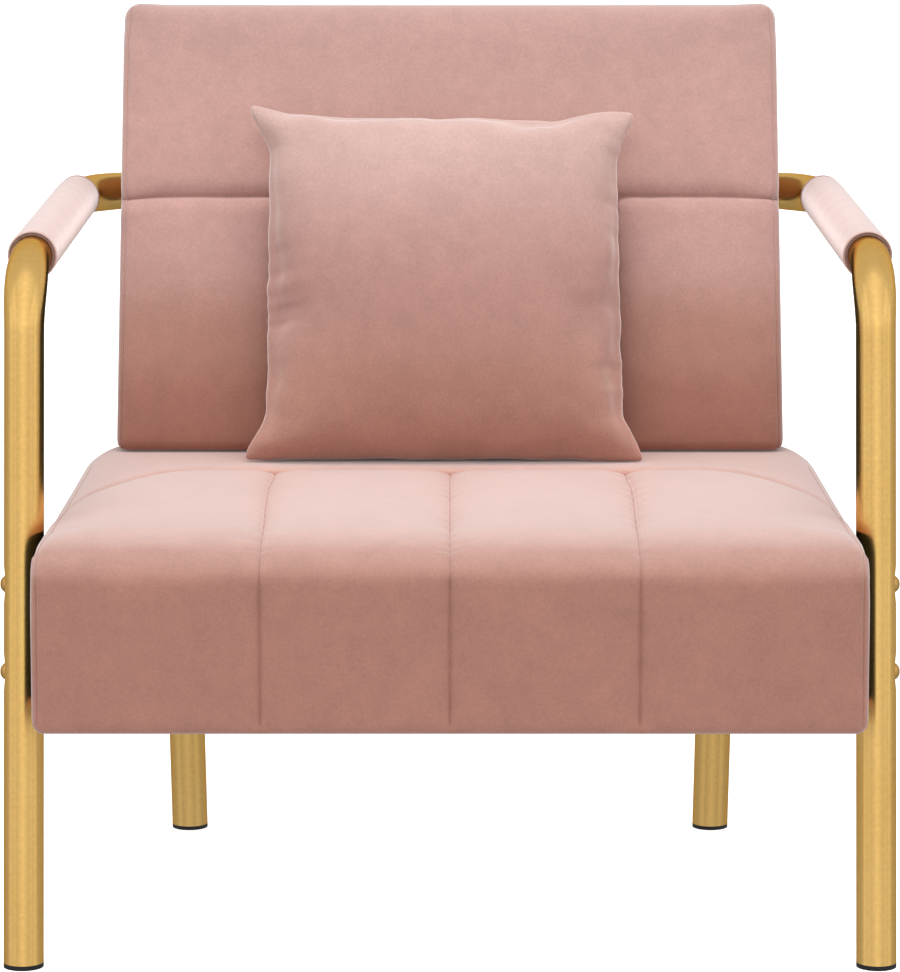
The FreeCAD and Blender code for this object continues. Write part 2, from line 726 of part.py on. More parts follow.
def back_bottom_rail():
    return back_rail(FRAME_LOW, FRAME_LOW + BOTTOM_RAIL_H).cut(group(bracket_screw_holes(SCREW_BORE_R)))


def back_webbing():
    """Elastic straps over the front of the frame, two layers crossing."""
    straps = []
    half = BACK_WEB_W / 2
    for x in BACK_WEB_X:
        strap = box(x - half, x + half, WEB_NEAR, WEB_NEAR + BACK_WEB_T, FRAME_LOW, FRAME_HIGH)
        straps.append(recline(strap))
    for height in BACK_WEB_H:
        low = height - half
        high = height + half
        strap = box(-FRAME_HALF, FRAME_HALF, WEB_NEAR + BACK_WEB_T, FRAME_NEAR, low, high)
        straps.append(recline(strap))
    return group(straps)


def back_bolt_holes(radius):
    holes = []
    for x in (-BACK_BOLT_X, BACK_BOLT_X):
        start = back_point(x, FRAME_NEAR - PAST, RAIL_HEIGHT)
        end = back_point(x, RAIL_DEPTH + PAST, RAIL_HEIGHT)
        holes.append(rod(start, end, radius))
    return holes


def back_bolts():
    """Bolts from behind the cross rail into the backrest's middle rail."""
    forward = back_point(0, 0, 0).sub(back_point(0, 1, 0))
    bolts = []
    for x in (-BACK_BOLT_X, BACK_BOLT_X):
        seat = back_point(x, RAIL_DEPTH + TUBE_R + WASHER_T, RAIL_HEIGHT)
        bolts.append(button_bolt(seat, forward, BACK_BOLT_LENGTH))
    return group(bolts)


def back_saddles():
    """Pads between the rail and the backrest, and the curved washers under the bolt heads."""
    rail = rod(V(-BIG, RAIL_Y, RAIL_Z), V(BIG, RAIL_Y, RAIL_Z), TUBE_R)
    pads = []
    for x in (-BACK_BOLT_X, BACK_BOLT_X):
        middle = back_point(x, RAIL_DEPTH, RAIL_HEIGHT)
        front = rod(back_point(x, BACK_T, RAIL_HEIGHT), middle, BACK_PAD_R)
        rear = rod(middle, back_point(x, RAIL_DEPTH + TUBE_R + WASHER_T, RAIL_HEIGHT), BACK_WASHER_R)
        pads.append(front.cut(rail))
        pads.append(rear.cut(rail))
    return group(pads).cut(group(back_bolt_holes(BOLT_HOLE_R)))


def back_t_nuts():
    backward = back_point(0, 1, 0).sub(back_point(0, 0, 0))
    nuts = [t_nut(back_point(x, FRAME_NEAR, RAIL_HEIGHT), backward) for x in (-BACK_BOLT_X, BACK_BOLT_X)]
    return group(nuts)


# ---------------------------------------------------------------- brackets, seat to backrest
BRACKET_SIDE_SCREWS = (288.0, 308.0)
BRACKET_BACK_SCREWS = (30.0, 54.0)
BRACKET_BEND = BACK_T * math.tan(math.radians(RECLINE))   # where the back's rear face meets the seat


def bracket_screw_line():
    """Seats and inward directions of one bracket's screws."""
    forward = back_point(0, 0, 0).sub(back_point(0, 1, 0))
    seats = [(V(BRACKET_X, SEAT_REAR_Y + BRACKET_T, z), V(0, -1, 0)) for z in BRACKET_SIDE_SCREWS]
    for along in BRACKET_BACK_SCREWS:
        seat = back_point(BRACKET_X, BACK_T + BRACKET_T, BRACKET_BEND + along)
        seats.append((seat, forward))
    return seats


def bracket_screw_holes(radius):
    holes = []
    for seat, inward in bracket_screw_line():
        holes.append(rod(seat.sub(inward * 2 * BRACKET_T), seat.add(inward * (SCREW_LENGTH + BRACKET_T)), radius))
    return holes + [mirrored(h) for h in holes]


def bracket_screws():
    screws = [pan_screw(seat, inward) for seat, inward in bracket_screw_line()]
    return group(screws + [mirrored(s) for s in screws])


def bracket():
    """Bent strip: down the rear of the seat and up the rear of the backrest."""
    x0 = BRACKET_X - BRACKET_W / 2
    x1 = BRACKET_X + BRACKET_W / 2
    top = SEAT_TOP_REAR + BRACKET_T
    lower = box(x0, x1, SEAT_REAR_Y, SEAT_REAR_Y + BRACKET_T, BRACKET_LOW_Z, top)
    low = BRACKET_BEND - BRACKET_T
    upper = recline(box(x0, x1, BACK_T, BACK_T + BRACKET_T, low, BRACKET_BEND + BRACKET_ARM))
    strip = lower.fuse(upper).removeSplitter()
    strip = strip.cut(back_shape(0)).cut(seat_shape(0))
    return strip.cut(group(bracket_screw_holes(SCREW_HOLE_R)))


# ---------------------------------------------------------------- arm padding
def arm_point(y):
    z = ARM_CORNER.z + (y - ARM_CORNER.y) * math.tan(ARM_RISE)
    return V(FRAME_X, y, z)


def arm_pad():
    start = arm_point(ARM_COVER_START_Y + ARM_END_ROLL)
    end = arm_point(ARM_COVER_END_Y - ARM_END_ROLL)
    return pipe(start, end, ARM_PAD_R, TUBE_R)


def arm_cover():
    sleeve = pipe(arm_point(ARM_COVER_START_Y), arm_point(ARM_COVER_END_Y), ARM_COVER_R, TUBE_R)
    return sleeve.cut(arm_pad())


# ---------------------------------------------------------------- pillow
def pillow_section(share, inset):
    """Lens-shaped slice across the pillow, share of the way up."""
    swell = math.sin(math.pi * share) ** PILLOW_SWELL_POWER
    half = PILLOW_HALF - PILLOW_WAIST * math.sin(math.pi * share) ** PILLOW_WAIST_POWER - inset
    edge = PILLOW_EDGE - inset
    thick = edge + (PILLOW_HALF_T - PILLOW_EDGE) * swell
    height = PILLOW_LOW + inset + (PILLOW_HIGH - PILLOW_LOW - 2 * inset) * share
    middle = -(PILLOW_HALF_T + PILLOW_GAP)
    front = middle - thick
    rear = middle + thick
    left = PILLOW_X - half
    right = PILLOW_X + half
    a = V(left, middle - edge, height)
    b = V(right, middle - edge, height)
    c = V(right, middle + edge, height)
    d = V(left, middle + edge, height)
    if swell < PILLOW_FLAT:
        front -= PILLOW_SLIGHT_BOW
        rear += PILLOW_SLIGHT_BOW
    return Part.Wire([
        Part.Arc(a, V(PILLOW_X, front, height), b).toShape(),
        Part.makeLine(b, c),
        Part.Arc(c, V(PILLOW_X, rear, height), d).toShape(),
        Part.makeLine(d, a),
    ])


def pillow_shape(inset):
    wires = [pillow_section(share, inset) for share in PILLOW_SHARES]
    return recline(Part.makeLoft(wires, True, False))


def pillow_insert():
    return pillow_shape(CLOTH)


def pillow_cover():
    return pillow_shape(0).cut(pillow_shape(CLOTH))


# ---------------------------------------------------------------- whole chair
def build():
    front_foot = V(FRAME_X, FRONT_FOOT_Y, 0)
    rear_foot = V(REAR_LEG_X, REAR_FOOT_Y, 0)
    arm_tube = right_arm_tube()
    rear_leg = rear_leg_right()
    front_glide = glide(front_foot, LEG_DIR)
    rear_glide = glide(rear_foot, REAR_DIR)
    side_rail = seat_side_rail()
    stile = back_stile()
    strip = bracket()
    pad = arm_pad()
    cover = arm_cover()
    return {
        "arm_tube_right": arm_tube,
        "arm_tube_left": mirrored(arm_tube),
        "rail_splice_sleeve": rail_splice(),
        "splice_screws": splice_screws(),
        "front_glide_right": front_glide,
        "front_glide_left": mirrored(front_glide),
        "rear_leg_right": rear_leg,
        "rear_leg_left": mirrored(rear_leg),
        "rear_glide_right": rear_glide,
        "rear_glide_left": mirrored(rear_glide),
        "rear_leg_screws": plate_screws(),
        "seat_side_bolts": side_bolts(),
        "seat_side_saddles": side_saddles(),
        "seat_side_t_nuts": side_t_nuts(),
        "seat_rail_right": side_rail,
        "seat_rail_left": mirrored(side_rail),
        "seat_rail_front": seat_front_rail(),
        "seat_rail_rear": seat_rear_rail(),
        "rear_leg_board": leg_board(),
        "seat_corner_blocks": corner_blocks(),
        "seat_zigzag_springs": zigzag_springs(),
        "seat_spring_clips": spring_clips(),
        "seat_foam": seat_foam(),
        "seat_cover": seat_cover(),
        "seat_dust_cover": dust_cover(),
        "back_stile_right": stile,
        "back_stile_left": mirrored(stile),
        "back_rail_top": back_rail(FRAME_HIGH - BACK_RAIL_H, FRAME_HIGH),
        "back_rail_middle": back_middle_rail(),
        "back_rail_bottom": back_bottom_rail(),
        "back_webbing": back_webbing(),
        "back_foam": back_foam(),
        "back_cover": back_cover(),
        "back_rail_bolts": back_bolts(),
        "back_rail_saddles": back_saddles(),
        "back_t_nuts": back_t_nuts(),
        "back_bracket_right": strip,
        "back_bracket_left": mirrored(strip),
        "back_bracket_screws": bracket_screws(),
        "arm_foam_right": pad,
        "arm_foam_left": mirrored(pad),
        "arm_cover_right": cover,
        "arm_cover_left": mirrored(cover),
        "pillow_insert": pillow_insert(),
        "pillow_cover": pillow_cover(),
    }


os.makedirs("parts", exist_ok=True)
for name, shape in build().items():
    shape.exportStep("parts/" + name + ".step")
    size = shape.BoundBox
    print(name, len(shape.Solids), shape.isValid(), round(shape.Volume / 1000, 2), "cm3",
          [round(n, 1) for n in (size.XMin, size.XMax, size.YMin, size.YMax, size.ZMin, size.ZMax)])
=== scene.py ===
# The visual model of the upholstered armchair, built over its CAD frame. All lengths are in metres.
import json
import math

import bpy
import numpy as np
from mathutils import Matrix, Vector


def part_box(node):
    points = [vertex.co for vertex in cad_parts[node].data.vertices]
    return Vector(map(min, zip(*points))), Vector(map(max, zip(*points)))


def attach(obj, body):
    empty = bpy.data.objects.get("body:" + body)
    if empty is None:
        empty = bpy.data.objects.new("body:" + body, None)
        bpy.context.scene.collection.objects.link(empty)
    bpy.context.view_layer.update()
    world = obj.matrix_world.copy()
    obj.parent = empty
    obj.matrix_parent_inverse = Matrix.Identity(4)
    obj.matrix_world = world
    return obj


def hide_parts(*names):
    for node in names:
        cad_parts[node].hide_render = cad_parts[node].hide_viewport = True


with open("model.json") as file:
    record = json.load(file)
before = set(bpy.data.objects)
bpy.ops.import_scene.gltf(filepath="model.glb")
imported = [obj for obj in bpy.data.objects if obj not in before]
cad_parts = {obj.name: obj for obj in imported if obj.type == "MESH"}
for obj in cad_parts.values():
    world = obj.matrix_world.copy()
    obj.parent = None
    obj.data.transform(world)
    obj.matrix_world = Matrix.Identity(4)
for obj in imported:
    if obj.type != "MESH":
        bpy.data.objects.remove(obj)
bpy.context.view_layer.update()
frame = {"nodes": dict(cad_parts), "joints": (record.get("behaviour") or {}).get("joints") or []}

NODES = frame["nodes"]
LIFT = frame["joints"][0]["axis"]

# Mesh and cloth settings
COARSE = 0.011
FINE = 0.006
SEAM_STEPS = (0.0006, 0.0014, 0.0026, 0.0042, 0.0064, 0.0095, 0.0135, 0.019)
SWELL_PRESSURE = 4.0
SWELL_FRAMES = 20
SWELL_STIFFNESS = 15.0
SWELL_BENDING = 0.5
RELAX_ROUNDS = 10
ON_LINE = 0.001

# Seat
SEAT_LOW, SEAT_HIGH = (np.array(corner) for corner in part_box("seat_cover"))
SEAT_SWELL = 0.007
SEAT_DROP = 0.0045
SEAT_CHANNEL = 0.163
SEAT_CROSS_Y = 0.052
SEAT_CROSS_TURN = 0.235
SEAT_CROSS_BOW = 0.215
SEAT_CROSS_RUN = 0.105
SEAT_BOXING = 0.004
SEAT_ROLL = (0.080, 0.033)
SEAT_REAR_BEND = 0.020
SEAT_LOWER_BEND = (0.009, 0.010)
SEAT_SIDE_BEND = 0.011
SEAT_SIDE_SOFTER = 0.019
SEAT_EDGE_SOFTER = 0.007
SEAT_UPPER = (0.31, 0.06)
SEAT_TOP = (0.36, 0.02)
SEAT_DROP_RUN = (-0.34, 0.49)
SEAT_SAG_RUN = (0.30, 0.06)
SEAT_STILL = 0.085
SEAT_FULLNESS = 0.0017
SEAT_SAG = 0.0024
SEAT_CORNER = 0.060

# Sewn valleys, as (depth, reach): the stitched line itself, then the softer draw round it
SEAM_LINE = (0.0022, 0.0028)
SEAT_DRAW = (0.0035, 0.022)
SEAT_CROSS_LINE = (0.0020, 0.0026)
SEAT_CROSS_DRAW = (0.0030, 0.018)
SEAT_BOXING_LINE = (0.0013, 0.0018)
GATHER_DEPTH = 0.00012
GATHER_REACH = 0.014
BACK_DRAW = (0.0045, 0.020)
BACK_CROSS_DRAW = (0.0040, 0.017)
BACK_BOXING_LINE = (0.0015, 0.0018)
CRINKLE_DEPTH = 0.0006
CRINKLE_AT = 0.045
CRINKLE_WIDTH = 0.035

# Dust cover
DUST_STEP = 0.012
DUST_SAG = 0.004
DUST_RIPPLE = 0.0006
DUST_CORNER = 0.055

# Backrest, in its own leaning frame: across, depth behind its front face, height up its slope
BACK_BOTTOM = np.array([0.0, 0.1629, 0.385])
BACK_SWELL = 0.004
BACK_HALF_LOW = 0.3243
BACK_HALF_HIGH = 0.3240
BACK_THICK = 0.102
BACK_HEIGHT = 0.461
BACK_CROSS = 0.258
BACK_CHANNEL = 0.164
BACK_BOXING = 0.004
BACK_EDGES = (0.011, 0.012, 0.010)
BACK_END_SOFTER = (0.008, 0.006, 0.008)
BACK_SIDE_DIP = 0.003
LEAN_UP = np.array(LIFT)
LEAN_BACK = np.array([0.0, LIFT[2], -LIFT[1]])

# Pillow, corners as (across, height) in the backrest's frame
PILLOW_CORNERS = {
    "top_left": (-0.191, 0.3295),
    "top_right": (0.175, 0.322),
    "bottom_left": (-0.193, -0.017),
    "bottom_right": (0.182, -0.018),
}
PILLOW_MIDDLE = -0.0595
PILLOW_BELLY = 0.057
PILLOW_REAR = -0.004
CORNER_TIP = 0.003
COVER_HALF = 0.2
COVER_EDGE = 0.004
COVER_STEP = 0.008
COVER_CREASING = 0.0002
COVER_PRESSURE = 5.0
COVER_FRAMES = 45
COVER_STIFFNESS = 40.0
COVER_BENDING = 0.4

# Arm sleeves: a hem at the front, a narrow band behind a groove at the rear
SLEEVE_RADIUS = 0.022
SLEEVE_STEP = 0.008
SLEEVE_HEM = 0.0016
SLEEVE_BAND = 0.011
BAND_ROUND = 0.002
BAND_LOWER = 0.0002
TUBE_GAP = 0.0003
RING_COUNT = 2
RING_REACH = 0.0030
TURNS = 96
TUBE_RADIUS = 0.0175
ARM_RISE = math.radians(1.8)
BEND_START = 0.310
BEND_RADIUS = 0.072
SLEEVE_OVERRUN = 0.014


# ---------------------------------------------------------------- number helpers


def smooth(t):
    """Eases from 0 to 1 as t goes from 0 to 1."""
    t = np.clip(t, 0.0, 1.0)
    return t * t * (3.0 - 2.0 * t)


def rising(value, start, run):
    """Eases from 0 to 1 as the value goes up from the start over the run."""
    return smooth((value - start) / run)


def falling(value, end, run):
    """Eases from 1 to 0 as the value goes up over the run to the end."""
    return smooth((end - value) / run)


def valley(distance, depth, reach):
    """A sewn valley: steep at the seam, easing out to nothing at its reach."""
    return depth * (1.0 - np.minimum(np.abs(distance) / reach, 1.0)) ** 2


def waves(place, seed, lengths, count=4):
    """Smooth, repeatable unevenness along a line, between about -1 and 1."""
    draw = np.random.default_rng(seed)
    total = np.zeros_like(place)
    for _ in range(count):
        length = draw.uniform(*lengths)
        phase = draw.uniform(0.0, 2.0 * math.pi)
        total += np.sin(2.0 * math.pi * place / length + phase)
    return total / count


# ---------------------------------------------------------------- mesh helpers


def lines(low, high, step, seams=(), offsets=()):
    """Grid lines from low to high, with closer ones round each seam."""
    kept = [low, high] + list(seams)
    for seam in seams:
        for offset in offsets:
            kept += [seam - offset, seam + offset]
    kept = sorted(value for value in kept if low <= value <= high)
    merged = [kept[0]]
    for value in kept[1:]:
        gap = value - merged[-1]
        if gap < 0.0004:
            continue
        parts = max(1, round(gap / step))
        merged += [merged[-1] + gap * (n + 1) / parts for n in range(parts)]
    merged[-1] = high
    return np.array(merged)


def cuboid(xs, ys, zs):
    """The surface grid of a block: its points, their grid numbers and its outward quads."""
    sizes = [len(xs), len(ys), len(zs)]
    quads = []
    for axis in range(3):
        first, second = [n for n in range(3) if n != axis]
        for end in (0, sizes[axis] - 1):
            across, along = np.meshgrid(
                np.arange(sizes[first] - 1), np.arange(sizes[second] - 1), indexing="ij"
            )
            corners = []
            for step_a, step_b in ((0, 0), (1, 0), (1, 1), (0, 1)):
                place = [None, None, None]
                place[axis] = np.full_like(across, end)
                place[first] = across + step_a
                place[second] = along + step_b
                corners.append((place[0] * sizes[1] + place[1]) * sizes[2] + place[2])
            side = np.stack(corners, -1).reshape(-1, 4)
            if (axis == 1) != (end == 0):
                side = side[:, ::-1]
            quads.append(side)
    used, faces = np.unique(np.concatenate(quads), return_inverse=True)
    i, rest = np.divmod(used, sizes[1] * sizes[2])
    j, k = np.divmod(rest, sizes[2])
    points = np.stack([xs[i], ys[j], zs[k]], 1)
    return points, (i, j, k), faces.reshape(-1, 4)


def point_normals(points, quads):
    """Outward unit normals of a closed quad mesh at its points."""
    a, b, c, d = (points[quads[:, n]] for n in range(4))
    face = np.cross(c - a, d - b)
    total = np.zeros_like(points)
    for corner in range(4):
        for axis in range(3):
            total[:, axis] += np.bincount(quads[:, corner], face[:, axis], len(points))
    length = np.linalg.norm(total, axis=1)
    length[length == 0.0] = 1.0
    return total / length[:, None]


def relax(values, quads, rounds, share=0.5):
    """Evens values out between neighbouring points of a mesh."""
    start = quads.ravel()
    stop = np.roll(quads, -1, axis=1).ravel()
    size = len(values)
    degree = np.bincount(start, minlength=size) + np.bincount(stop, minlength=size)
    for _ in range(rounds):
        mean = np.empty_like(values)
        for axis in range(values.shape[1]):
            column = values[:, axis]
            total = np.bincount(start, column[stop], size) + np.bincount(stop, column[start], size)
            mean[:, axis] = total / degree
        values = values + share * (mean - values)
    return values


def carry_over(values, places, coarse, points):
    """Values on a coarse block's surface, read at other points of the same block."""
    volume = np.zeros([len(axis) for axis in coarse] + [3])
    volume[places] = values
    low, share = [], []
    for axis, grid in enumerate(coarse):
        index = np.clip(np.searchsorted(grid, points[:, axis], side="right") - 1, 0, len(grid) - 2)
        low.append(index)
        share.append((points[:, axis] - grid[index]) / (grid[index + 1] - grid[index]))
    total = np.zeros_like(points)
    for corner in np.ndindex(2, 2, 2):
        weight = np.ones(len(points))
        for axis in range(3):
            weight *= share[axis] if corner[axis] else 1.0 - share[axis]
        cell = tuple(low[axis] + corner[axis] for axis in range(3))
        total += weight[:, None] * volume[cell]
    return total


def rounded(points, low, high, radii):
    """Rounds a block's edges and corners; radii has three lengths for every point."""
    inner = np.clip(points, low + radii, high - radii)
    away = (points - inner) / radii
    length = np.linalg.norm(away, axis=1)
    length[length == 0.0] = 1.0
    return inner + away / length[:, None] * radii


def mesh_object(name, points, quads, materials, face_material=None):
    """A smooth-shaded mesh piece, linked to the scene."""
    mesh = bpy.data.meshes.new(name)
    mesh.from_pydata(np.asarray(points).tolist(), [], np.asarray(quads).tolist())
    mesh.polygons.foreach_set("use_smooth", [True] * len(mesh.polygons))
    for material in materials:
        mesh.materials.append(material)
    if face_material is not None:
        mesh.polygons.foreach_set("material_index", np.asarray(face_material, dtype=np.int32))
    mesh.update()
    piece = bpy.data.objects.new(name, mesh)
    bpy.context.scene.collection.objects.link(piece)
    return piece


# ---------------------------------------------------------------- cloth simulation


def blown_up(points, quads, held, pressure, frames, stiffness, bending):
    """Where a closed cloth's points end up when it is blown up, with some of them held."""
    piece = mesh_object("cloth_trial", points, quads, [])
    group = piece.vertex_groups.new(name="held")
    group.add(np.flatnonzero(held).tolist(), 1.0, "REPLACE")
    cloth = piece.modifiers.new("cloth", "CLOTH")
    cloth.settings.quality = 6
    cloth.settings.mass = 0.3
    cloth.settings.tension_stiffness = stiffness
    cloth.settings.compression_stiffness = stiffness
    cloth.settings.shear_stiffness = stiffness * 0.4
    cloth.settings.bending_stiffness = bending
    cloth.settings.use_pressure = True
    cloth.settings.uniform_pressure_force = pressure
    cloth.settings.vertex_group_mass = "held"
    cloth.settings.effector_weights.gravity = 0.0
    cloth.collision_settings.use_collision = False
    cloth.point_cache.frame_start = 1
    cloth.point_cache.frame_end = frames
    scene = bpy.context.scene
    for number in range(1, frames + 1):
        scene.frame_set(number)
    shaped = piece.evaluated_get(bpy.context.evaluated_depsgraph_get())
    places = np.empty(len(points) * 3)
    shaped.data.vertices.foreach_get("co", places)
    mesh = piece.data
    bpy.data.objects.remove(piece)
    bpy.data.meshes.remove(mesh)
    scene.frame_set(1)
    return places.reshape(-1, 3)


def swelling(points, quads, held, cap):
    """How far a cushion's cover bulges between its held parts, never more than the cap."""
    cloth = (SWELL_PRESSURE, SWELL_FRAMES, SWELL_STIFFNESS, SWELL_BENDING)
    moved = blown_up(points, quads, held, *cloth) - points
    length = np.linalg.norm(moved, axis=1)
    length[length == 0.0] = 1.0
    return moved * (cap * np.tanh(length / cap) / length)[:, None]


def cushion(name, low, high, seams, form, held, cap, sewn, material):
    """A padded block: rounded form, cloth swelling between the held parts, then its sewn seams."""
    coarse = [lines(low[axis], high[axis], COARSE, seams[axis]) for axis in range(3)]
    fine = [lines(low[axis], high[axis], FINE, seams[axis], SEAM_STEPS) for axis in range(3)]
    block, places, quads = cuboid(*coarse)
    swell = swelling(form(block), quads, held(block), cap)
    points, _, quads_fine = cuboid(*fine)
    swell = relax(carry_over(swell, places, coarse, points), quads_fine, RELAX_ROUNDS)
    shape = form(points) + swell
    shape = shape - point_normals(shape, quads_fine) * sewn(points)[:, None]
    return mesh_object(name, shape, quads_fine, [material])


# ---------------------------------------------------------------- seat


def seat_channel_at(y):
    """How far from the middle the outer channel seams lie, at a distance back along the seat."""
    return 0.1590 + 0.0068 * rising(y, -0.38, 0.36) - 0.0018 * rising(y, -0.05, 0.10)


def seat_cross_at(x):
    """Where the cross seam lies: straight in the middle, turning forward towards each side."""
    turned = np.clip((np.abs(x) - SEAT_CROSS_TURN) / SEAT_CROSS_RUN, 0.0, 1.2)
    return SEAT_CROSS_Y - SEAT_CROSS_BOW * turned**2


def seat_profile(y, z, inset):
    """The seat's side outline: a big soft roll at the top front, tight bends elsewhere."""
    low, high = SEAT_LOW[1:], SEAT_HIGH[1:]
    place = np.stack([y, z], 1)
    middle, half = (low + high) / 2.0, (high - low) / 2.0
    place = middle + (place - middle) * (half - inset[:, None]) / half
    front, top = (y < middle[0]), (z > middle[1])
    bend_y = np.where(front & top, SEAT_ROLL[0], np.where(top, SEAT_REAR_BEND, SEAT_LOWER_BEND[0])) - inset
    bend_z = np.where(front & top, SEAT_ROLL[1], np.where(top, SEAT_REAR_BEND, SEAT_LOWER_BEND[1])) - inset
    bends = np.maximum(np.stack([bend_y, bend_z], 1), 0.002)
    inner = np.clip(place, low + inset[:, None] + bends, high - inset[:, None] - bends)
    away = (place - inner) / bends
    length = np.maximum(np.linalg.norm(away, axis=1), 1e-9)
    away *= (np.max(np.abs(away), axis=1) / length)[:, None]
    return inner + away * bends


def seat_edges(x, y, z):
    """The seat's rounded block: how far across each point lies, and its place in side view."""
    low, high = SEAT_LOW, SEAT_HIGH
    upper = rising(z, *SEAT_UPPER)
    reach_x = SEAT_SIDE_BEND + SEAT_SIDE_SOFTER * upper * rising(y, low[1], 0.10)
    reach_in = SEAT_SIDE_BEND + SEAT_EDGE_SOFTER * upper
    from_edge = np.minimum.reduce([y - low[1], high[1] - y, z - low[2], high[2] - z])
    out = np.clip((np.abs(x) - high[0] + reach_x) / reach_x, 0.0, 1.0)
    over = np.clip(1.0 - from_edge / reach_in, 0.0, 1.0)
    length = np.maximum(np.hypot(out, over), 1e-9)
    inset = np.where(over > 0.0, reach_in * (1.0 - over / length) - from_edge, 0.0)
    inset = np.where(out > 0.0, inset, 0.0)
    across = np.where(out > 0.0, high[0] - reach_x * (1.0 - out / length), np.abs(x))
    return across * (1.0 + SEAT_FULLNESS / high[0]), seat_profile(y, z, inset)


def round_rear(across, along, half, rear, corner):
    """Brings the sides in towards the rear, so that the rear corners are round in plan."""
    behind = np.clip((along - rear + corner) / corner, 0.0, 0.999)
    return across * (1.0 - corner / half * (1.0 - np.sqrt(1.0 - behind**2)))


def seat_form(block):
    """The boxed seat cushion, with its seams drawn to their true paths."""
    low, high = SEAT_LOW, SEAT_HIGH
    x, y, z = block.T
    across, side = seat_edges(x, y, z)
    wanted = seat_channel_at(y)
    outside = high[0] - (high[0] - across) * (high[0] - wanted) / (high[0] - SEAT_CHANNEL)
    across = np.where(across < SEAT_CHANNEL, across * wanted / SEAT_CHANNEL, outside)
    across = round_rear(across, side[:, 0], high[0], high[1], SEAT_CORNER)
    roll_end = low[1] + SEAT_ROLL[0]
    ahead = np.clip((y - roll_end) / (SEAT_CROSS_Y - roll_end), 0.0, 1.0) ** 1.5
    back = np.clip((high[1] - y) / (high[1] - SEAT_CROSS_Y), 0.0, 1.0)
    moved = rising(z, *SEAT_TOP) * np.minimum(ahead, back) * (seat_cross_at(x) - SEAT_CROSS_Y)
    share = (side[:, 1] - low[2]) / (high[2] - low[2])
    height = side[:, 1] - SEAT_DROP * share * rising(side[:, 0], *SEAT_DROP_RUN)
    height -= SEAT_SAG * falling(y, low[1] + 0.06, 0.05) * falling(z, *SEAT_SAG_RUN)
    return np.stack([np.sign(x) * across, side[:, 0] + moved, height], 1)


def seat_held(block):
    """The seams, the underside, the sides and what lies under the backrest and pillow don't swell."""
    x, y, z = block.T
    low, high = SEAT_LOW, SEAT_HIGH
    channel = (np.abs(np.abs(x) - SEAT_CHANNEL) < ON_LINE) | (np.abs(x) < ON_LINE)
    seam = channel & (y < SEAT_CROSS_Y + ON_LINE)
    cross = (np.abs(y - SEAT_CROSS_Y) < ON_LINE) & (z > high[2] - ON_LINE)
    under = (z < low[2] + 0.02) | (y > SEAT_STILL)
    side = np.abs(x) > high[0] - ON_LINE
    return seam | cross | under | side


def seat_sewn(block):
    """How deep the seat's sewn valleys and puckers are at each point."""
    x, y, z = block.T
    low, high = SEAT_LOW, SEAT_HIGH
    top = rising(z, high[2] - 0.03, 0.03)
    ahead = falling(y, SEAT_CROSS_Y + 0.004, 0.008)
    bottom = rising(z, low[2] + 0.001, 0.01)
    run = y - z
    depth = np.zeros_like(x)
    for number, seam in enumerate((-SEAT_CHANNEL, 0.0, SEAT_CHANNEL)):
        away = x - seam
        pucker = 1.0 + 0.35 * waves(run, 11 + number, (0.011, 0.05))
        drawn = valley(away, *SEAM_LINE) + valley(away, *SEAT_DRAW) * pucker
        gathers = waves(run, 21 + number, (0.007, 0.013)) * valley(away, GATHER_DEPTH, GATHER_REACH)
        depth += ahead * bottom * (drawn + gathers)
    middle = falling(np.abs(x), SEAT_CROSS_TURN + 0.12, 0.08)
    pucker = 1.0 + 0.3 * waves(x, 31, (0.015, 0.06))
    cross = valley(y - SEAT_CROSS_Y, *SEAT_CROSS_LINE) * middle
    depth += top * (cross + valley(y - SEAT_CROSS_Y, *SEAT_CROSS_DRAW) * pucker * (0.35 + 0.65 * middle))
    boxing = np.abs(x) - (high[0] - SEAT_BOXING)
    depth += valley(boxing, *SEAT_BOXING_LINE) * bottom * falling(y, 0.2, 0.02)
    return depth


def crinkles(block, low, high):
    """Fine wrinkling of the nap where the seat's cover rolls over its front edge."""
    x, y, z = block.T
    band = np.exp(-(((y - low[1]) + (high[2] - z) - CRINKLE_AT) / CRINKLE_WIDTH) ** 2)
    first = waves(x * 0.9 + y * 1.7 + z, 41, (0.012, 0.035), 6)
    second = waves(x * -0.8 + y * 1.3 + z * 1.2, 42, (0.012, 0.04), 6)
    return CRINKLE_DEPTH * band * first * second


def build_seat(material):
    """The seat cushion, over its cover and foam."""
    seams = [
        [-SEAT_HIGH[0] + SEAT_BOXING, -SEAT_CHANNEL, 0.0, SEAT_CHANNEL, SEAT_HIGH[0] - SEAT_BOXING],
        [SEAT_CROSS_Y],
        [],
    ]
    piece = cushion(
        "seat",
        SEAT_LOW,
        SEAT_HIGH,
        seams,
        seat_form,
        seat_held,
        SEAT_SWELL,
        lambda block: seat_sewn(block) + crinkles(block, SEAT_LOW, SEAT_HIGH),
        material,
    )
    finish_piece(piece, "chair", "pink_velvet", "seat_cover", "seat_foam")


# ---------------------------------------------------------------- backrest


def leaning(across, depth, height):
    """Points given in the backrest's frame, as places in the chair."""
    origin = BACK_BOTTOM[None, :] + np.stack([across, across * 0.0, across * 0.0], 1)
    return origin + depth[:, None] * LEAN_BACK + height[:, None] * LEAN_UP


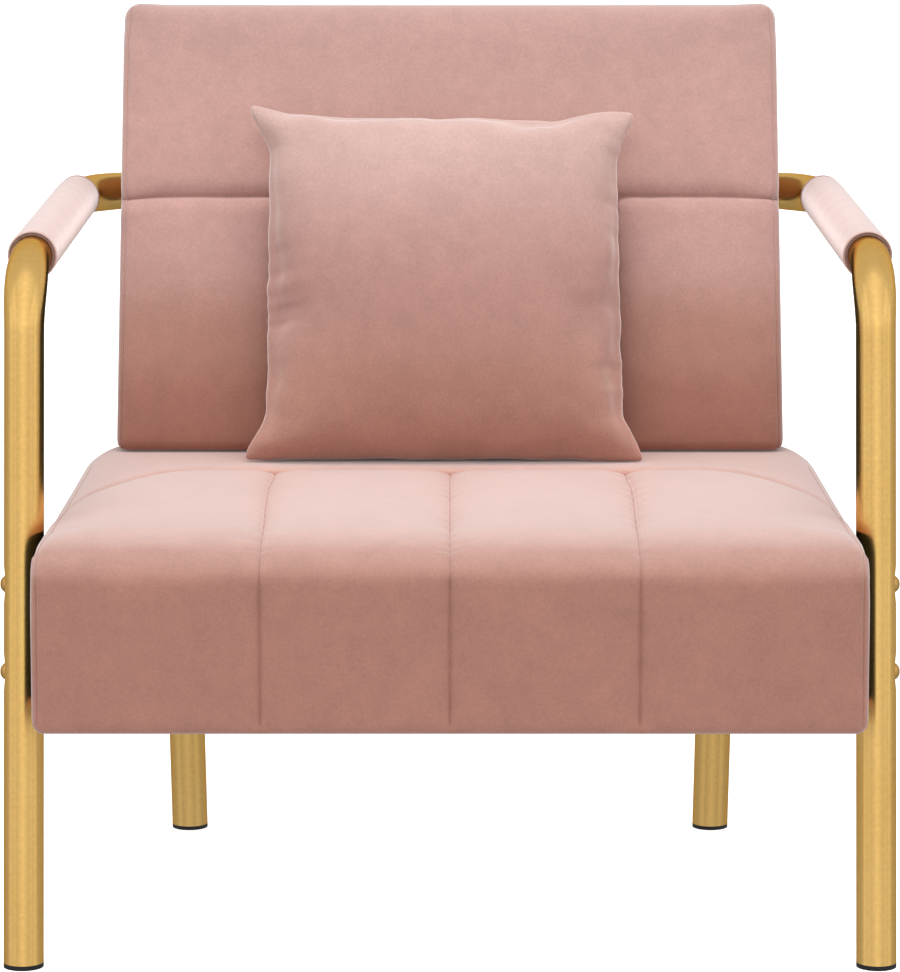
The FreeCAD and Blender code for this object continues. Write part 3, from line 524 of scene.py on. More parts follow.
def back_form(block):
    """The backrest's block: rounded, narrowing upwards, its underside level with the seat."""
    low = np.array([-BACK_HALF_LOW, 0.0, 0.0])
    high = np.array([BACK_HALF_LOW, BACK_THICK, BACK_HEIGHT])
    across, depth, height = block.T
    ends = rising(height, BACK_HEIGHT - 0.05, 0.03)
    radii = np.array(BACK_EDGES) + np.array(BACK_END_SOFTER) * ends[:, None]
    shape = rounded(block, low, high, radii)
    narrow = 1.0 - (1.0 - BACK_HALF_HIGH / BACK_HALF_LOW) * shape[:, 2] / BACK_HEIGHT
    start = shape[:, 1] * math.tan(math.asin(LIFT[1]))
    tall = start + shape[:, 2] * (BACK_HEIGHT - start) / BACK_HEIGHT
    edge = rising(np.abs(across), 0.27, 0.06)
    tall = tall - BACK_SIDE_DIP * edge * np.exp(-(((height - BACK_CROSS) / 0.05) ** 2))
    return leaning(shape[:, 0] * narrow, shape[:, 1], tall)


def back_held(block):
    """The seams, the rear, the sides and where the pillow leans don't swell."""
    across, depth, height = block.T
    channel = (np.abs(np.abs(across) - BACK_CHANNEL) < ON_LINE) | (np.abs(across) < ON_LINE)
    seam = channel & (height < BACK_CROSS + ON_LINE)
    cross = (np.abs(height - BACK_CROSS) < ON_LINE) & (depth < ON_LINE)
    side = (np.abs(across) > BACK_HALF_LOW - ON_LINE) | (height < 0.012)
    return seam | cross | side | (depth > 0.02)


def back_sewn(block):
    """How deep the backrest's sewn valleys and puckers are at each point."""
    across, depth, height = block.T
    front = 1.0 - rising(depth, 0.004, 0.012)
    rear = rising(depth, BACK_THICK - 0.016, 0.012)
    below = falling(height, BACK_CROSS + 0.003, 0.006)
    total = np.zeros_like(across)
    for number, seam in enumerate((-BACK_CHANNEL, 0.0, BACK_CHANNEL)):
        away = across - seam
        pucker = 1.0 + 0.3 * waves(height, 51 + number, (0.014, 0.06))
        total += front * below * (valley(away, *SEAM_LINE) + valley(away, *BACK_DRAW) * pucker)
    pucker = 1.0 + 0.25 * waves(across, 61, (0.02, 0.08))
    level = height - BACK_CROSS
    total += front * (valley(level, *SEAM_LINE) + valley(level, *BACK_CROSS_DRAW) * pucker)
    boxing = np.abs(across) - (BACK_HALF_LOW - BACK_BOXING)
    total += (front + rear) * valley(boxing, *BACK_BOXING_LINE)
    return total


def build_back(material):
    """The backrest, over its cover and foam."""
    edge = BACK_HALF_LOW - BACK_BOXING
    seams = [[-edge, -BACK_CHANNEL, 0.0, BACK_CHANNEL, edge], [], [BACK_CROSS]]
    low = np.array([-BACK_HALF_LOW, 0.0, 0.0])
    high = np.array([BACK_HALF_LOW, BACK_THICK, BACK_HEIGHT])
    piece = cushion("backrest", low, high, seams, back_form, back_held, BACK_SWELL, back_sewn, material)
    finish_piece(piece, "chair", "pink_velvet", "back_cover", "back_foam")


# ---------------------------------------------------------------- pillow


def pillow_trial():
    """A flat square pillow cover, blown up as cloth: its flat places, its points and its quads."""
    half = COVER_HALF
    grid = lines(-half, half, COVER_STEP)
    flat, _, quads = cuboid(grid, lines(-COVER_EDGE, COVER_EDGE, COVER_STEP), grid)
    start = flat + np.random.default_rng(5).normal(0.0, COVER_CREASING, flat.shape)
    held = np.zeros(len(flat), bool)
    cloth = (COVER_PRESSURE, COVER_FRAMES, COVER_STIFFNESS, COVER_BENDING)
    return flat / half, blown_up(start, quads, held, *cloth), quads


def even_out(flat, points, quads):
    """Smooths small crumples out of the pillow, most of all from its middle."""
    start = flat * COVER_HALF
    soft = relax(points - start, quads, 7)
    softer = relax(soft, quads, 45)
    edge = np.maximum(np.abs(flat[:, 0]), np.abs(flat[:, 2]))
    share = (1.0 - smooth((edge - 0.55) / 0.35))[:, None]
    return start + soft + share * (softer - soft)


def edge_to(flat, points, side, axis, target):
    """Moves one edge of the pillow so that it pulls in by the target, easing off towards the middle."""
    other = 2 - axis
    rim = flat[:, axis] * side > 0.999
    order = np.argsort(flat[rim, other])
    along, pulled = flat[rim, other][order], points[rim, axis][order] * side
    corner = max(pulled[0], pulled[-1])
    now = corner - np.interp(flat[:, other], along, pulled)
    change = (now - target(flat[:, other])) * smooth((flat[:, axis] * side - 0.1) / 0.9) ** 2
    moved = points.copy()
    moved[:, axis] += side * change
    return moved


def pulled_in(amount, seed, sharp=0.30, ripple=0.0012):
    """How far an edge pulls in along its length: quickly from each corner, then nearly straight."""

    def pull(along):
        return amount * smooth((1.0 - np.abs(along)) / sharp) + ripple * waves(along, seed, (0.18, 0.6))

    return pull


def to_corners(flat, points):
    """Draws the cover's corners to the pillow's true corners, and its depth to its true depth."""
    across, depth, height = points.T
    right, top = (flat[:, 0] + 1.0) / 2.0, (flat[:, 2] + 1.0) / 2.0
    shift = np.zeros((len(flat), 2))
    for name, (x, z) in PILLOW_CORNERS.items():
        is_right, is_top = name.endswith("right"), name.startswith("top")
        weight = (right if is_right else 1.0 - right) * (top if is_top else 1.0 - top)
        here = weight > 0.999
        place = np.array([across[here].mean(), height[here].mean()])
        outward = np.array([1.0 if is_right else -1.0, 1.0 if is_top else -1.0]) * CORNER_TIP
        shift += weight[:, None] * (np.array([x, z]) + outward - place)
    depth = PILLOW_MIDDLE + depth * PILLOW_BELLY / np.max(np.abs(depth))
    return across + shift[:, 0], np.minimum(depth, PILLOW_REAR), height + shift[:, 1]


def build_pillow(material):
    """The loose pillow: a blown-up cover with its edges pulled in and its corners in place."""
    flat, points, quads = pillow_trial()
    points = even_out(flat, points, quads)
    for side, axis, target in (
        (-1.0, 0, pulled_in(0.020, 91)),
        (1.0, 0, pulled_in(0.018, 92)),
        (1.0, 2, pulled_in(0.011, 93, 0.45, 0.0022)),
        (-1.0, 2, pulled_in(0.0015, 94, 0.45, 0.0004)),
    ):
        points = edge_to(flat, points, side, axis, target)
    piece = mesh_object("pillow", leaning(*to_corners(flat, points)), quads, [material])
    subdivide(piece, 2)
    finish_piece(piece, "pillow", "pillow_velvet", "pillow_cover", "pillow_insert")


def subdivide(piece, levels):
    """Applies a smooth subdivision to a piece."""
    modifier = piece.modifiers.new("rounding", "SUBSURF")
    modifier.levels = levels
    modifier.render_levels = levels
    shaped = piece.evaluated_get(bpy.context.evaluated_depsgraph_get())
    mesh = bpy.data.meshes.new_from_object(shaped)
    piece.modifiers.remove(modifier)
    piece.data = mesh


# ---------------------------------------------------------------- arm sleeves


def sleeve_profile(length):
    """The closed outline turned round the arm: (distance along, radius, is it the rear band)."""
    outline = []
    for turn in np.linspace(math.pi, 0.5 * math.pi, 6):
        along = SLEEVE_HEM + SLEEVE_HEM * math.cos(turn)
        outline.append((along, SLEEVE_RADIUS - SLEEVE_HEM + SLEEVE_HEM * math.sin(turn), 0))
    band = length - SLEEVE_BAND
    for along in np.arange(SLEEVE_STEP, band - SLEEVE_STEP / 2.0, SLEEVE_STEP):
        outline.append((along, SLEEVE_RADIUS, 0))
    outline += [
        (band - 0.0016, SLEEVE_RADIUS - 0.0001, 0),
        (band - 0.0006, SLEEVE_RADIUS - 0.0006, 0),
        (band, SLEEVE_RADIUS - 0.0011, 1),
        (band + 0.0006, SLEEVE_RADIUS - 0.0006, 1),
        (band + 0.0018, SLEEVE_RADIUS - BAND_LOWER, 1),
        (band + 0.006, SLEEVE_RADIUS - BAND_LOWER, 1),
    ]
    round_centre = SLEEVE_RADIUS - BAND_LOWER - BAND_ROUND
    for turn in np.linspace(0.5 * math.pi, 0.0, 6):
        along = length - BAND_ROUND + BAND_ROUND * math.cos(turn)
        outline.append((along, round_centre + BAND_ROUND * math.sin(turn), 1))
    inner = TUBE_RADIUS + TUBE_GAP
    outline += [(length - 0.003, inner, 1), (length * 0.5, inner, 0), (0.006, inner, 0)]
    return outline + sleeve_rings(inner)


def sleeve_rings(inner):
    """The turned-in layers of cloth seen at the sleeve's front end, from the tube outwards."""
    rings = []
    outer = SLEEVE_RADIUS - RING_REACH
    width = (outer - inner) / RING_COUNT
    for number in range(RING_COUNT):
        centre = inner + width * (number + 0.5)
        for turn in np.linspace(-0.5 * math.pi, 0.5 * math.pi, 5):
            along = RING_REACH - 0.0010 * math.cos(turn)
            rings.append((along, centre + 0.42 * width * math.sin(turn), 0))
    groove = [(0.0042, outer + 0.0002, 0), (0.0036, outer + 0.0010, 0)]
    return rings + groove + [(0.0022, SLEEVE_RADIUS - SLEEVE_HEM, 0)]


def build_sleeve(side, name, materials):
    """One velvet arm sleeve, following the arm and the start of its rear bend."""
    low, high = (np.array(corner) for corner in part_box("arm_cover_" + name))
    length = (high[1] - low[1]) / math.cos(ARM_RISE) + SLEEVE_OVERRUN
    start = np.array([(low[0] + high[0]) / 2.0, low[1], low[2] + SLEEVE_RADIUS])
    along = np.array([0.0, math.cos(ARM_RISE), math.sin(ARM_RISE)])
    across = np.array([float(side), 0.0, 0.0])
    upward = np.array([0.0, -math.sin(ARM_RISE), math.cos(ARM_RISE)])
    outline = sleeve_profile(length)
    turns = np.linspace(0.0, 2.0 * math.pi, TURNS, endpoint=False)
    points, bands = [], []
    straight = (BEND_START - low[1]) / math.cos(ARM_RISE)
    for distance, radius, band in outline:
        turn = max(0.0, distance - straight) / BEND_RADIUS
        here = along * (min(distance, straight) + BEND_RADIUS * math.sin(turn))
        ring = start + here - across * BEND_RADIUS * (1.0 - math.cos(turn))
        sideways = across * math.cos(turn) + along * math.sin(turn)
        outer = smooth(np.full_like(turns, (radius - 0.0205) / 0.001))
        uneven = 0.00025 * outer * waves(turns + distance * 40.0, 71 + side, (1.2, 3.0))
        under = np.angle(np.exp(1j * (turns + 0.5 * math.pi)))
        reach = radius + uneven - outer * valley(under, 0.0008, 0.12)
        spoke = np.cos(turns)[:, None] * sideways + np.sin(turns)[:, None] * upward
        points.append(ring + reach[:, None] * spoke)
        bands.append(band)
    quads, face_material = ring_quads(len(outline), len(turns), bands, side)
    piece = mesh_object("sleeve_" + name, np.concatenate(points), quads, materials, face_material)
    finish_piece(piece, "chair", "pink_velvet", "arm_cover_" + name, "arm_foam_" + name)


def ring_quads(rings, around, bands, side):
    """Quads of a closed ring of rings, facing outwards, and each one's material number."""
    quads, numbers = [], []
    for ring in range(rings):
        after = (ring + 1) % rings
        for n in range(around):
            m = (n + 1) % around
            quad = [ring * around + n, ring * around + m, after * around + m, after * around + n]
            quads.append(quad if side < 0 else quad[::-1])
            numbers.append(bands[ring])
    return quads, numbers


# ---------------------------------------------------------------- dust cover


def build_dust_cover(material):
    """The thin cloth stapled under the seat, sagging slightly between the rails."""
    low, high = (np.array(corner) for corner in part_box("seat_dust_cover"))
    xs = lines(low[0], high[0], DUST_STEP)
    ys = lines(low[1], high[1], DUST_STEP)
    across, along = np.meshgrid(xs, ys, indexing="ij")
    right = np.clip((across - low[0]) / (high[0] - low[0]), 0.0, 1.0)
    back = np.clip((along - low[1]) / (high[1] - low[1]), 0.0, 1.0)
    free = np.sin(math.pi * right) * np.sin(math.pi * back)
    sag = free * (DUST_SAG + DUST_RIPPLE * waves(across * 1.3 + along, 81, (0.05, 0.2)))
    height = high[2] - DUST_RIPPLE - sag
    across = round_rear(across, along, high[0], high[1], DUST_CORNER)
    points = np.stack([across.ravel(), along.ravel(), height.ravel()], 1)
    i, j = np.meshgrid(np.arange(len(xs) - 1), np.arange(len(ys) - 1), indexing="ij")
    first = i * len(ys) + j
    quads = np.stack([first, first + 1, first + len(ys) + 1, first + len(ys)], -1).reshape(-1, 4)
    piece = mesh_object("dust_cover", points, quads, [material])
    finish_piece(piece, "chair", "dust_cloth", "seat_dust_cover")


def finish_piece(piece, body, slot, *nodes):
    """Hides the CAD nodes a piece stands for and attaches the piece to the body it moves with; the slot is
    not used.
    """
    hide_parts(*nodes)
    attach(piece, body)


# ---------------------------------------------------------------- materials


def new_material(name):
    """A fresh material, its surface shader and the object's own coordinates."""
    material = bpy.data.materials.new(name)
    material.use_nodes = True
    nodes = material.node_tree.nodes
    surface = nodes["Principled BSDF"]
    place = nodes.new("ShaderNodeTexCoord")
    return material, surface, place.outputs["Object"]


def stretched(material, vector, scale):
    """The same coordinates, scaled differently along each axis."""
    mapping = material.node_tree.nodes.new("ShaderNodeMapping")
    mapping.inputs["Scale"].default_value = scale
    material.node_tree.links.new(vector, mapping.inputs["Vector"])
    return mapping.outputs["Vector"]


def noise(material, vector, scale, detail=2.0, rough=0.5):
    """Soft random cloudiness, finer as the scale rises."""
    node = material.node_tree.nodes.new("ShaderNodeTexNoise")
    node.inputs["Scale"].default_value = scale
    node.inputs["Detail"].default_value = detail
    node.inputs["Roughness"].default_value = rough
    material.node_tree.links.new(vector, node.inputs["Vector"])
    return node.outputs["Fac"]


def ramp(material, value, stops):
    """A colour ramp from (position, colour) stops; a single number is a grey."""
    node = material.node_tree.nodes.new("ShaderNodeValToRGB")
    node.color_ramp.interpolation = "EASE"
    elements = node.color_ramp.elements
    for number, (position, colour) in enumerate(stops):
        element = elements[number] if number < 2 else elements.new(position)
        element.position = position
        shade = (colour,) * 3 if isinstance(colour, float) else colour
        element.color = (*shade, 1.0)
    material.node_tree.links.new(value, node.inputs["Fac"])
    return node.outputs["Color"]


def mixed(material, share, first, second, blend="MIX"):
    """Two colours mixed; share, first and second are sockets or plain values."""
    node = material.node_tree.nodes.new("ShaderNodeMix")
    node.data_type = "RGBA"
    node.blend_type = blend
    for socket, value in ((node.inputs[0], share), (node.inputs[6], first), (node.inputs[7], second)):
        if isinstance(value, bpy.types.NodeSocket):
            material.node_tree.links.new(value, socket)
        elif isinstance(value, tuple):
            socket.default_value = (*value, 1.0)
        else:
            socket.default_value = value
    return node.outputs[2]


def bumped(material, surface, heights):
    """Adds bumps, one after another, from (height, strength, distance)."""
    before = None
    for height, strength, distance in heights:
        node = material.node_tree.nodes.new("ShaderNodeBump")
        node.inputs["Strength"].default_value = strength
        node.inputs["Distance"].default_value = distance
        material.node_tree.links.new(height, node.inputs["Height"])
        if before is not None:
            material.node_tree.links.new(before, node.inputs["Normal"])
        before = node.outputs["Normal"]
    material.node_tree.links.new(before, surface.inputs["Normal"])


def by_height(material, place, stops):
    """A colour that changes with height, from (height in metres, colour) stops."""
    split = material.node_tree.nodes.new("ShaderNodeSeparateXYZ")
    material.node_tree.links.new(place, split.inputs["Vector"])
    low, high = stops[0][0], stops[-1][0]
    scaled = material.node_tree.nodes.new("ShaderNodeMapRange")
    scaled.inputs["From Min"].default_value = low
    scaled.inputs["From Max"].default_value = high
    material.node_tree.links.new(split.outputs["Z"], scaled.inputs["Value"])
    shares = [((height - low) / (high - low), colour) for height, colour in stops]
    return ramp(material, scaled.outputs["Result"], shares)


def velvet(name, stops, sheen=1.0):
    """Short pile: blotchy nap, fine grain and a pale sheen at glancing angles, over a base colour painted
    lighter or darker with height as painted light and shade.
    """
    material, surface, place = new_material(name)
    link = material.node_tree.links.new
    blotch = noise(material, place, 55.0, 4.0, 0.62)
    grain = noise(material, place, 420.0, 3.0, 0.7)
    crush = noise(material, stretched(material, place, (1.0, 0.6, 0.8)), 17.0, 3.0, 0.55)
    # Painted light and shade: the base colour follows the height stops, paler where light falls and darker
    # where shade falls.
    colour = by_height(material, place, stops)
    for pattern, low, darkest in ((blotch, 0.30, 0.93), (grain, 0.25, 0.85), (crush, 0.30, 0.95)):
        shade = ramp(material, pattern, [(low, darkest), (1.0 - low, 1.0)])
        colour = mixed(material, 1.0, colour, shade, "MULTIPLY")
    link(colour, surface.inputs["Base Color"])
    link(ramp(material, grain, [(0.2, 0.72), (0.8, 0.95)]), surface.inputs["Roughness"])
    surface.inputs["Sheen Weight"].default_value = sheen
    surface.inputs["Sheen Roughness"].default_value = 0.42
    surface.inputs["Sheen Tint"].default_value = (1.0, 0.93, 0.92, 1.0)
    surface.inputs["Specular IOR Level"].default_value = 0.15
    bumped(material, surface, [(blotch, 0.12, 0.0008), (grain, 0.25, 0.0003)])
    return material


# Painted light on the seat, as (height in metres, colour) stops: the top is painted paler, a painted
# highlight where the light falls.
SEAT_PAINTED_LIGHT = [
    (0.22, (0.585, 0.278, 0.218)),
    (0.350, (0.570, 0.275, 0.216)),
    (0.378, (0.560, 0.312, 0.256)),
    (0.392, (0.655, 0.412, 0.364)),
]
# Painted light and shade on the backrest, as (height in metres, colour) stops: painted shade darkens it
# towards the seat, and it is painted paler higher up as painted light.
BACK_PAINTED_SHADING = [
    (0.37, (0.30, 0.122, 0.085)),
    (0.43, (0.355, 0.160, 0.120)),
    (0.49, (0.42, 0.215, 0.167)),
    (0.58, (0.535, 0.317, 0.280)),
    (0.70, (0.53, 0.315, 0.275)),
    (0.82, (0.49, 0.300, 0.265)),
]
# Painted light and shade on the pillow, as (height in metres, colour) stops: darker low down as painted
# shade, paler at the top as painted light.
PILLOW_PAINTED_SHADING = [
    (0.36, (0.45, 0.225, 0.175)),
    (0.44, (0.46, 0.242, 0.188)),
    (0.54, (0.45, 0.246, 0.210)),
    (0.70, (0.54, 0.357, 0.320)),
]
# Painted light and shade on the arm sleeves, as (height in metres, colour) stops: paler on top as painted
# light, darker underneath as painted shade.
SLEEVE_PAINTED_SHADING = [(0.56, (0.58, 0.33, 0.27)), (0.62, (0.66, 0.455, 0.41)), (0.66, (0.68, 0.485, 0.44))]
# A darker copy of the sleeve velvet for the rear band: painted shade where the sleeve turns into its bend.
BAND_PAINTED_SHADE = [(0.56, (0.40, 0.19, 0.15)), (0.66, (0.42, 0.20, 0.16))]


def gold(name, bright, deep, roughness):
    """Satin gold plating: fine brushing, soft mottling and a little handling wear."""
    material, surface, place = new_material(name)
    link = material.node_tree.links.new
    brush = noise(material, stretched(material, place, (2600.0, 2600.0, 120.0)), 1.0, 2.0, 0.6)
    cloud = noise(material, place, 9.0, 3.0, 0.55)
    speck = noise(material, place, 260.0, 2.0, 0.5)
    colour = ramp(material, cloud, [(0.3, deep), (0.7, bright)])
    worn = ramp(material, speck, [(0.3, 0.94), (0.7, 1.0)])
    link(mixed(material, 1.0, colour, worn, "MULTIPLY"), surface.inputs["Base Color"])
    low, high = roughness
    link(ramp(material, brush, [(0.25, low), (0.75, high)]), surface.inputs["Roughness"])
    surface.inputs["Metallic"].default_value = 1.0
    surface.inputs["Anisotropic"].default_value = 0.2
    surface.inputs["Specular Tint"].default_value = (0.85, 0.62, 0.36, 1.0)
    bumped(material, surface, [(brush, 0.005, 0.00003), (cloud, 0.04, 0.0006)])
    return material


def satin_metal(name, bright, deep, roughness):
    """Zinc plate or powder coat: cloudy colour, fine speckle and uneven shine."""
    material, surface, place = new_material(name)
    link = material.node_tree.links.new
    cloud = noise(material, place, 60.0, 4.0, 0.6)
    speck = noise(material, place, 700.0, 2.0, 0.6)
    link(ramp(material, cloud, [(0.3, deep), (0.7, bright)]), surface.inputs["Base Color"])
    low, high = roughness
    link(ramp(material, speck, [(0.3, low), (0.7, high)]), surface.inputs["Roughness"])
    surface.inputs["Metallic"].default_value = 1.0
    bumped(material, surface, [(speck, 0.12, 0.0002)])
    return material


def moulded(name, bright, deep, roughness, grain, depth):
    """Plastic, paint or foam: slight colour drift and an all-over grain."""
    material, surface, place = new_material(name)
    link = material.node_tree.links.new
    cloud = noise(material, place, 35.0, 3.0, 0.55)
    cell = noise(material, place, grain, 3.0, 0.65)
    link(ramp(material, cloud, [(0.3, deep), (0.7, bright)]), surface.inputs["Base Color"])
    low, high = roughness
    link(ramp(material, cell, [(0.25, low), (0.75, high)]), surface.inputs["Roughness"])
    surface.inputs["Specular IOR Level"].default_value = 0.35
    bumped(material, surface, [(cell, 0.4, depth)])
    return material


def woven(name, bright, deep, thread):
    """A plain weave made of two crossed wave textures."""
    material, surface, place = new_material(name)
    link = material.node_tree.links.new
    threads = []
    for direction in ("X", "Y"):
        wave = material.node_tree.nodes.new("ShaderNodeTexWave")
        wave.bands_direction = direction
        wave.inputs["Scale"].default_value = thread
        wave.inputs["Distortion"].default_value = 0.6
        link(place, wave.inputs["Vector"])
        threads.append(wave.outputs["Fac"])
    weave = mixed(material, 0.5, threads[0], threads[1])
    cloud = noise(material, place, 25.0, 3.0, 0.6)
    colour = ramp(material, weave, [(0.2, deep), (0.8, bright)])
    shade = ramp(material, cloud, [(0.3, 0.82), (0.7, 1.0)])
    link(mixed(material, 1.0, colour, shade, "MULTIPLY"), surface.inputs["Base Color"])
    link(ramp(material, weave, [(0.2, 0.95), (0.8, 0.8)]), surface.inputs["Roughness"])
    bumped(material, surface, [(weave, 0.5, 0.0003)])
    return material


def timber_material():
    """Sawn hardwood: long grain streaks with faint pores."""
    material, surface, place = new_material("timber")
    link = material.node_tree.links.new
    grain = noise(material, stretched(material, place, (6.0, 90.0, 90.0)), 1.0, 5.0, 0.65)
    pores = noise(material, stretched(material, place, (60.0, 900.0, 900.0)), 1.0, 2.0, 0.6)
    colour = ramp(material, grain, [(0.25, (0.36, 0.21, 0.10)), (0.75, (0.62, 0.43, 0.25))])
    dark = ramp(material, pores, [(0.35, 0.8), (0.6, 1.0)])
    link(mixed(material, 1.0, colour, dark, "MULTIPLY"), surface.inputs["Base Color"])
    link(ramp(material, pores, [(0.3, 0.75), (0.7, 0.55)]), surface.inputs["Roughness"])
    bumped(material, surface, [(grain, 0.2, 0.0005), (pores, 0.2, 0.0003)])
    return material


def make_materials():
    """Every material, by slot; the metals, plastics and foams give bright and deep colours."""
    return {
        "pink_velvet": velvet("pink_velvet", SEAT_PAINTED_LIGHT),
        "pillow_velvet": velvet("pillow_velvet", PILLOW_PAINTED_SHADING),
        "gold_steel": gold("gold_steel", (0.89, 0.565, 0.190), (0.87, 0.540, 0.170), (0.21, 0.24)),
        "gold_bolt": gold("gold_bolt", (0.68, 0.42, 0.15), (0.60, 0.36, 0.12), (0.26, 0.38)),
        "black_plastic": moulded(
            "black_plastic", (0.012, 0.012, 0.013), (0.008, 0.008, 0.009), (0.45, 0.62), 900.0, 0.0002
        ),
        "zinc_steel": satin_metal("zinc_steel", (0.58, 0.60, 0.62), (0.45, 0.47, 0.50), (0.25, 0.45)),
        "black_steel": satin_metal("black_steel", (0.03, 0.03, 0.032), (0.02, 0.02, 0.022), (0.45, 0.65)),
        "foam": moulded("foam", (0.85, 0.75, 0.45), (0.78, 0.67, 0.38), (0.85, 1.0), 500.0, 0.0008),
        "fibre_fill": moulded(
            "fibre_fill", (0.88, 0.88, 0.86), (0.80, 0.80, 0.78), (0.85, 1.0), 300.0, 0.0010
        ),
        "dust_cloth": woven("dust_cloth", (0.020, 0.020, 0.022), (0.008, 0.008, 0.009), 900.0),
        "elastic_webbing": woven("elastic_webbing", (0.08, 0.08, 0.085), (0.03, 0.03, 0.033), 500.0),
        "timber": timber_material(),
    }


# Words in a CAD node's name that give its material; what matches nothing is zinc-plated steel
NODE_SLOTS = {
    "gold_steel": ["arm_tube", "rear_leg_right", "rear_leg_left"],
    "gold_bolt": ["seat_side_bolts", "back_rail_bolts"],
    "black_plastic": ["glide", "saddles"],
    "black_steel": ["back_bracket_right", "back_bracket_left"],
    "foam": ["foam"],
    "fibre_fill": ["pillow_insert"],
    "elastic_webbing": ["webbing"],
    "timber": [
        "seat_rail",
        "leg_board",
        "corner_blocks",
        "stile",
        "back_rail_top",
        "back_rail_middle",
        "back_rail_bottom",
    ],
    "pink_velvet": ["seat_cover", "back_cover", "arm_cover"],
    "pillow_velvet": ["pillow_cover"],
    "dust_cloth": ["dust_cover"],
}


def slot_of(node):
    for slot, words in NODE_SLOTS.items():
        if any(word in node for word in words):
            return slot
    return "zinc_steel"


def dress_cad_nodes(materials):
    for name, node in NODES.items():
        node.data.materials.clear()
        node.data.materials.append(materials[slot_of(name)])


# ---------------------------------------------------------------- room


FLOOR_HALF = 90.0
FLOOR_GLOW = 0.88


def build_room():
    """A pale, evenly lit floor, which lights nothing and shows in no reflection."""
    material, surface, place = new_material("studio_floor")
    cloud = noise(material, place, 3.0, 2.0, 0.5)
    link = material.node_tree.links.new
    link(ramp(material, cloud, [(0.3, 0.90), (0.7, 0.92)]), surface.inputs["Base Color"])
    surface.inputs["Roughness"].default_value = 0.9
    surface.inputs["Emission Color"].default_value = (1.0, 1.0, 1.0, 1.0)
    surface.inputs["Emission Strength"].default_value = FLOOR_GLOW
    half = FLOOR_HALF
    corners = [(-half, -half, 0.0), (half, -half, 0.0), (half, half, 0.0), (-half, half, 0.0)]
    floor = mesh_object("studio_floor", corners, [(0, 1, 2, 3)], [material])
    floor.visible_glossy = False
    floor.visible_diffuse = False


def leaning_sheet(half, lower, upper):
    """Corners of a shade-reflection sheet across the chair, from its lower to its upper (y, z) edge."""
    return [(-half, *lower), (half, *lower), (half, *upper), (-half, *upper)]


def upright_sheet(x):
    """Corners of a shade-reflection sheet along one side of the seat."""
    front, rear, low, high = -0.40, 0.20, 0.235, 0.375
    return [(x, front, low), (x, rear, low), (x, rear, high), (x, front, high)]


def build_shade_reflection_sheets():
    """Near-black sheets, seen only in reflections, standing where the chair's own shaded sides and hollows
    are: a painted reflection of shade that gives the tubes their dark edges.
    """
    material, surface, place = new_material("shade_reflection_sheet")
    # Painted reflection: the sheets' near-black colour stands in for the chair's shade as the tubes see
    # it.
    cloud = noise(material, place, 5.0)
    dark = ramp(material, cloud, [(0.3, 0.015), (0.7, 0.035)])
    material.node_tree.links.new(dark, surface.inputs["Base Color"])
    surface.inputs["Specular IOR Level"].default_value = 0.0
    outlines = [
        leaning_sheet(0.355, (-0.16, 0.36), (0.06, 0.66)),
        leaning_sheet(0.318, (0.295, 0.44), (0.3625, 0.625)),
        leaning_sheet(0.318, (0.3625, 0.625), (0.42, 0.80)),
        upright_sheet(-0.3528),
        upright_sheet(0.3528),
    ]
    for number, corners in enumerate(outlines):
        flag = mesh_object(f"shade_reflection_sheet_{number}", corners, [(0, 1, 2, 3)], [material])
        flag.visible_camera = False
        flag.visible_diffuse = False
        flag.visible_shadow = False
        flag.visible_transmission = False


def area_light(name, place, target, width, height, watts, spread):
    """A soft rectangular light aimed at its target, left out of reflections; spread in degrees."""
    light = bpy.data.lights.new(name, "AREA")
    light.shape = "RECTANGLE"
    light.size = width
    light.size_y = height
    light.energy = watts
    light.spread = math.radians(spread)
    lamp = bpy.data.objects.new(name, light)
    bpy.context.scene.collection.objects.link(lamp)
    lamp.location = place
    lamp.visible_glossy = False
    toward = Vector(target) - Vector(place)
    lamp.rotation_euler = toward.to_track_quat("-Z", "Y").to_euler()


def build_lights():
    area_light("overhead", (0.0, -0.02, 2.0), (0.0, -0.02, 0.4), 1.6, 0.5, 3.9, 60.0)
    area_light("upper_front", (0.0, -2.2, 2.1), (0.0, 0.30, 1.0), 1.6, 0.5, 0.9, 32.0)


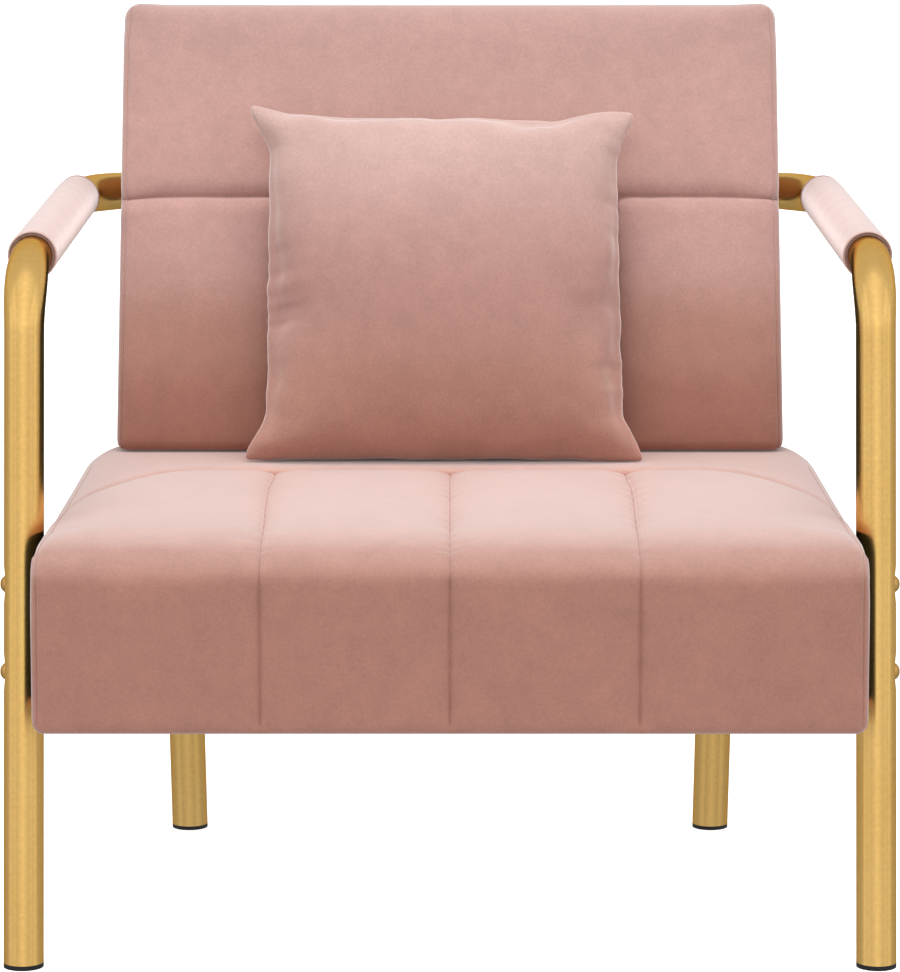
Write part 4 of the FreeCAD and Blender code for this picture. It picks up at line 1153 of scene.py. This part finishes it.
def build_sky():
    """A studio all round: dimmer below and behind, bright above, with upright soft strips in front."""
    world = bpy.data.worlds.new("studio")
    world.use_nodes = True
    bpy.context.scene.world = world
    tree = world.node_tree
    direction = tree.nodes.new("ShaderNodeTexCoord").outputs["Generated"]
    split = tree.nodes.new("ShaderNodeSeparateXYZ")
    tree.links.new(direction, split.inputs["Vector"])
    height = ramp(world, half_up(world, split.outputs["Z"]), SKY_HEIGHT)
    strips = ramp(world, half_up(world, split.outputs["X"]), SKY_STRIPS)
    front = ramp(world, half_up(world, split.outputs["Y"]), [(0.42, 1.0), (0.58, 0.0)])
    around = mixed(world, front, SKY_BEHIND, strips)
    tree.links.new(mixed(world, 1.0, height, around, "MULTIPLY"), tree.nodes["Background"].inputs["Color"])
    tree.nodes["Background"].inputs["Strength"].default_value = 1.0


SKY_BEHIND = (0.62, 0.62, 0.62)
SKY_HEIGHT = [(0.0, 0.55), (0.30, 0.75), (0.42, 0.82), (0.58, 1.0), (0.72, 1.2), (0.85, 1.1), (1.0, 1.1)]
SKY_STRIPS = [
    (0.0, 0.80),
    (0.02, 1.02),
    (0.075, 0.80),
    (0.14, 0.96),
    (0.215, 0.76),
    (0.33, 0.90),
    (0.50, 1.06),
    (0.67, 0.90),
    (0.785, 0.76),
    (0.86, 0.96),
    (0.925, 0.80),
    (0.98, 1.02),
    (1.0, 0.80),
]


def half_up(world, value):
    """Brings a value from -1..1 to 0..1."""
    node = world.node_tree.nodes.new("ShaderNodeMapRange")
    node.inputs["From Min"].default_value = -1.0
    world.node_tree.links.new(value, node.inputs["Value"])
    return node.outputs["Result"]


LENS = 155.56
CAMERA_PLACE = (0.0, -3.87061, 0.96287)
CAMERA_PITCH = 8.6108


def build_camera():
    """A long lens a little above the chair, looking slightly down, as in the photograph."""
    data = bpy.data.cameras.new("camera")
    data.sensor_width = 36.0
    data.lens = LENS
    camera = bpy.data.objects.new("camera", data)
    bpy.context.scene.collection.objects.link(camera)
    camera.location = CAMERA_PLACE
    camera.rotation_euler = (math.radians(90.0 - CAMERA_PITCH), 0.0, 0.0)
    bpy.context.scene.camera = camera


palette = make_materials()
dress_cad_nodes(palette)
build_seat(palette["pink_velvet"])
build_back(velvet("back_velvet", BACK_PAINTED_SHADING))
build_pillow(palette["pillow_velvet"])
# The rear band uses the darker copy, as painted shade; the sleeve velvet carries painted light and shade
# by height.
sleeve_cloth = [velvet("sleeve_velvet", SLEEVE_PAINTED_SHADING), velvet("band_velvet_painted_shade", BAND_PAINTED_SHADE, 0.5)]
build_sleeve(1, "right", sleeve_cloth)
build_sleeve(-1, "left", sleeve_cloth)
build_dust_cover(palette["dust_cloth"])
build_room()
build_shade_reflection_sheets()
build_lights()
build_sky()
build_camera()
bpy.context.scene.view_settings.view_transform = "Standard"
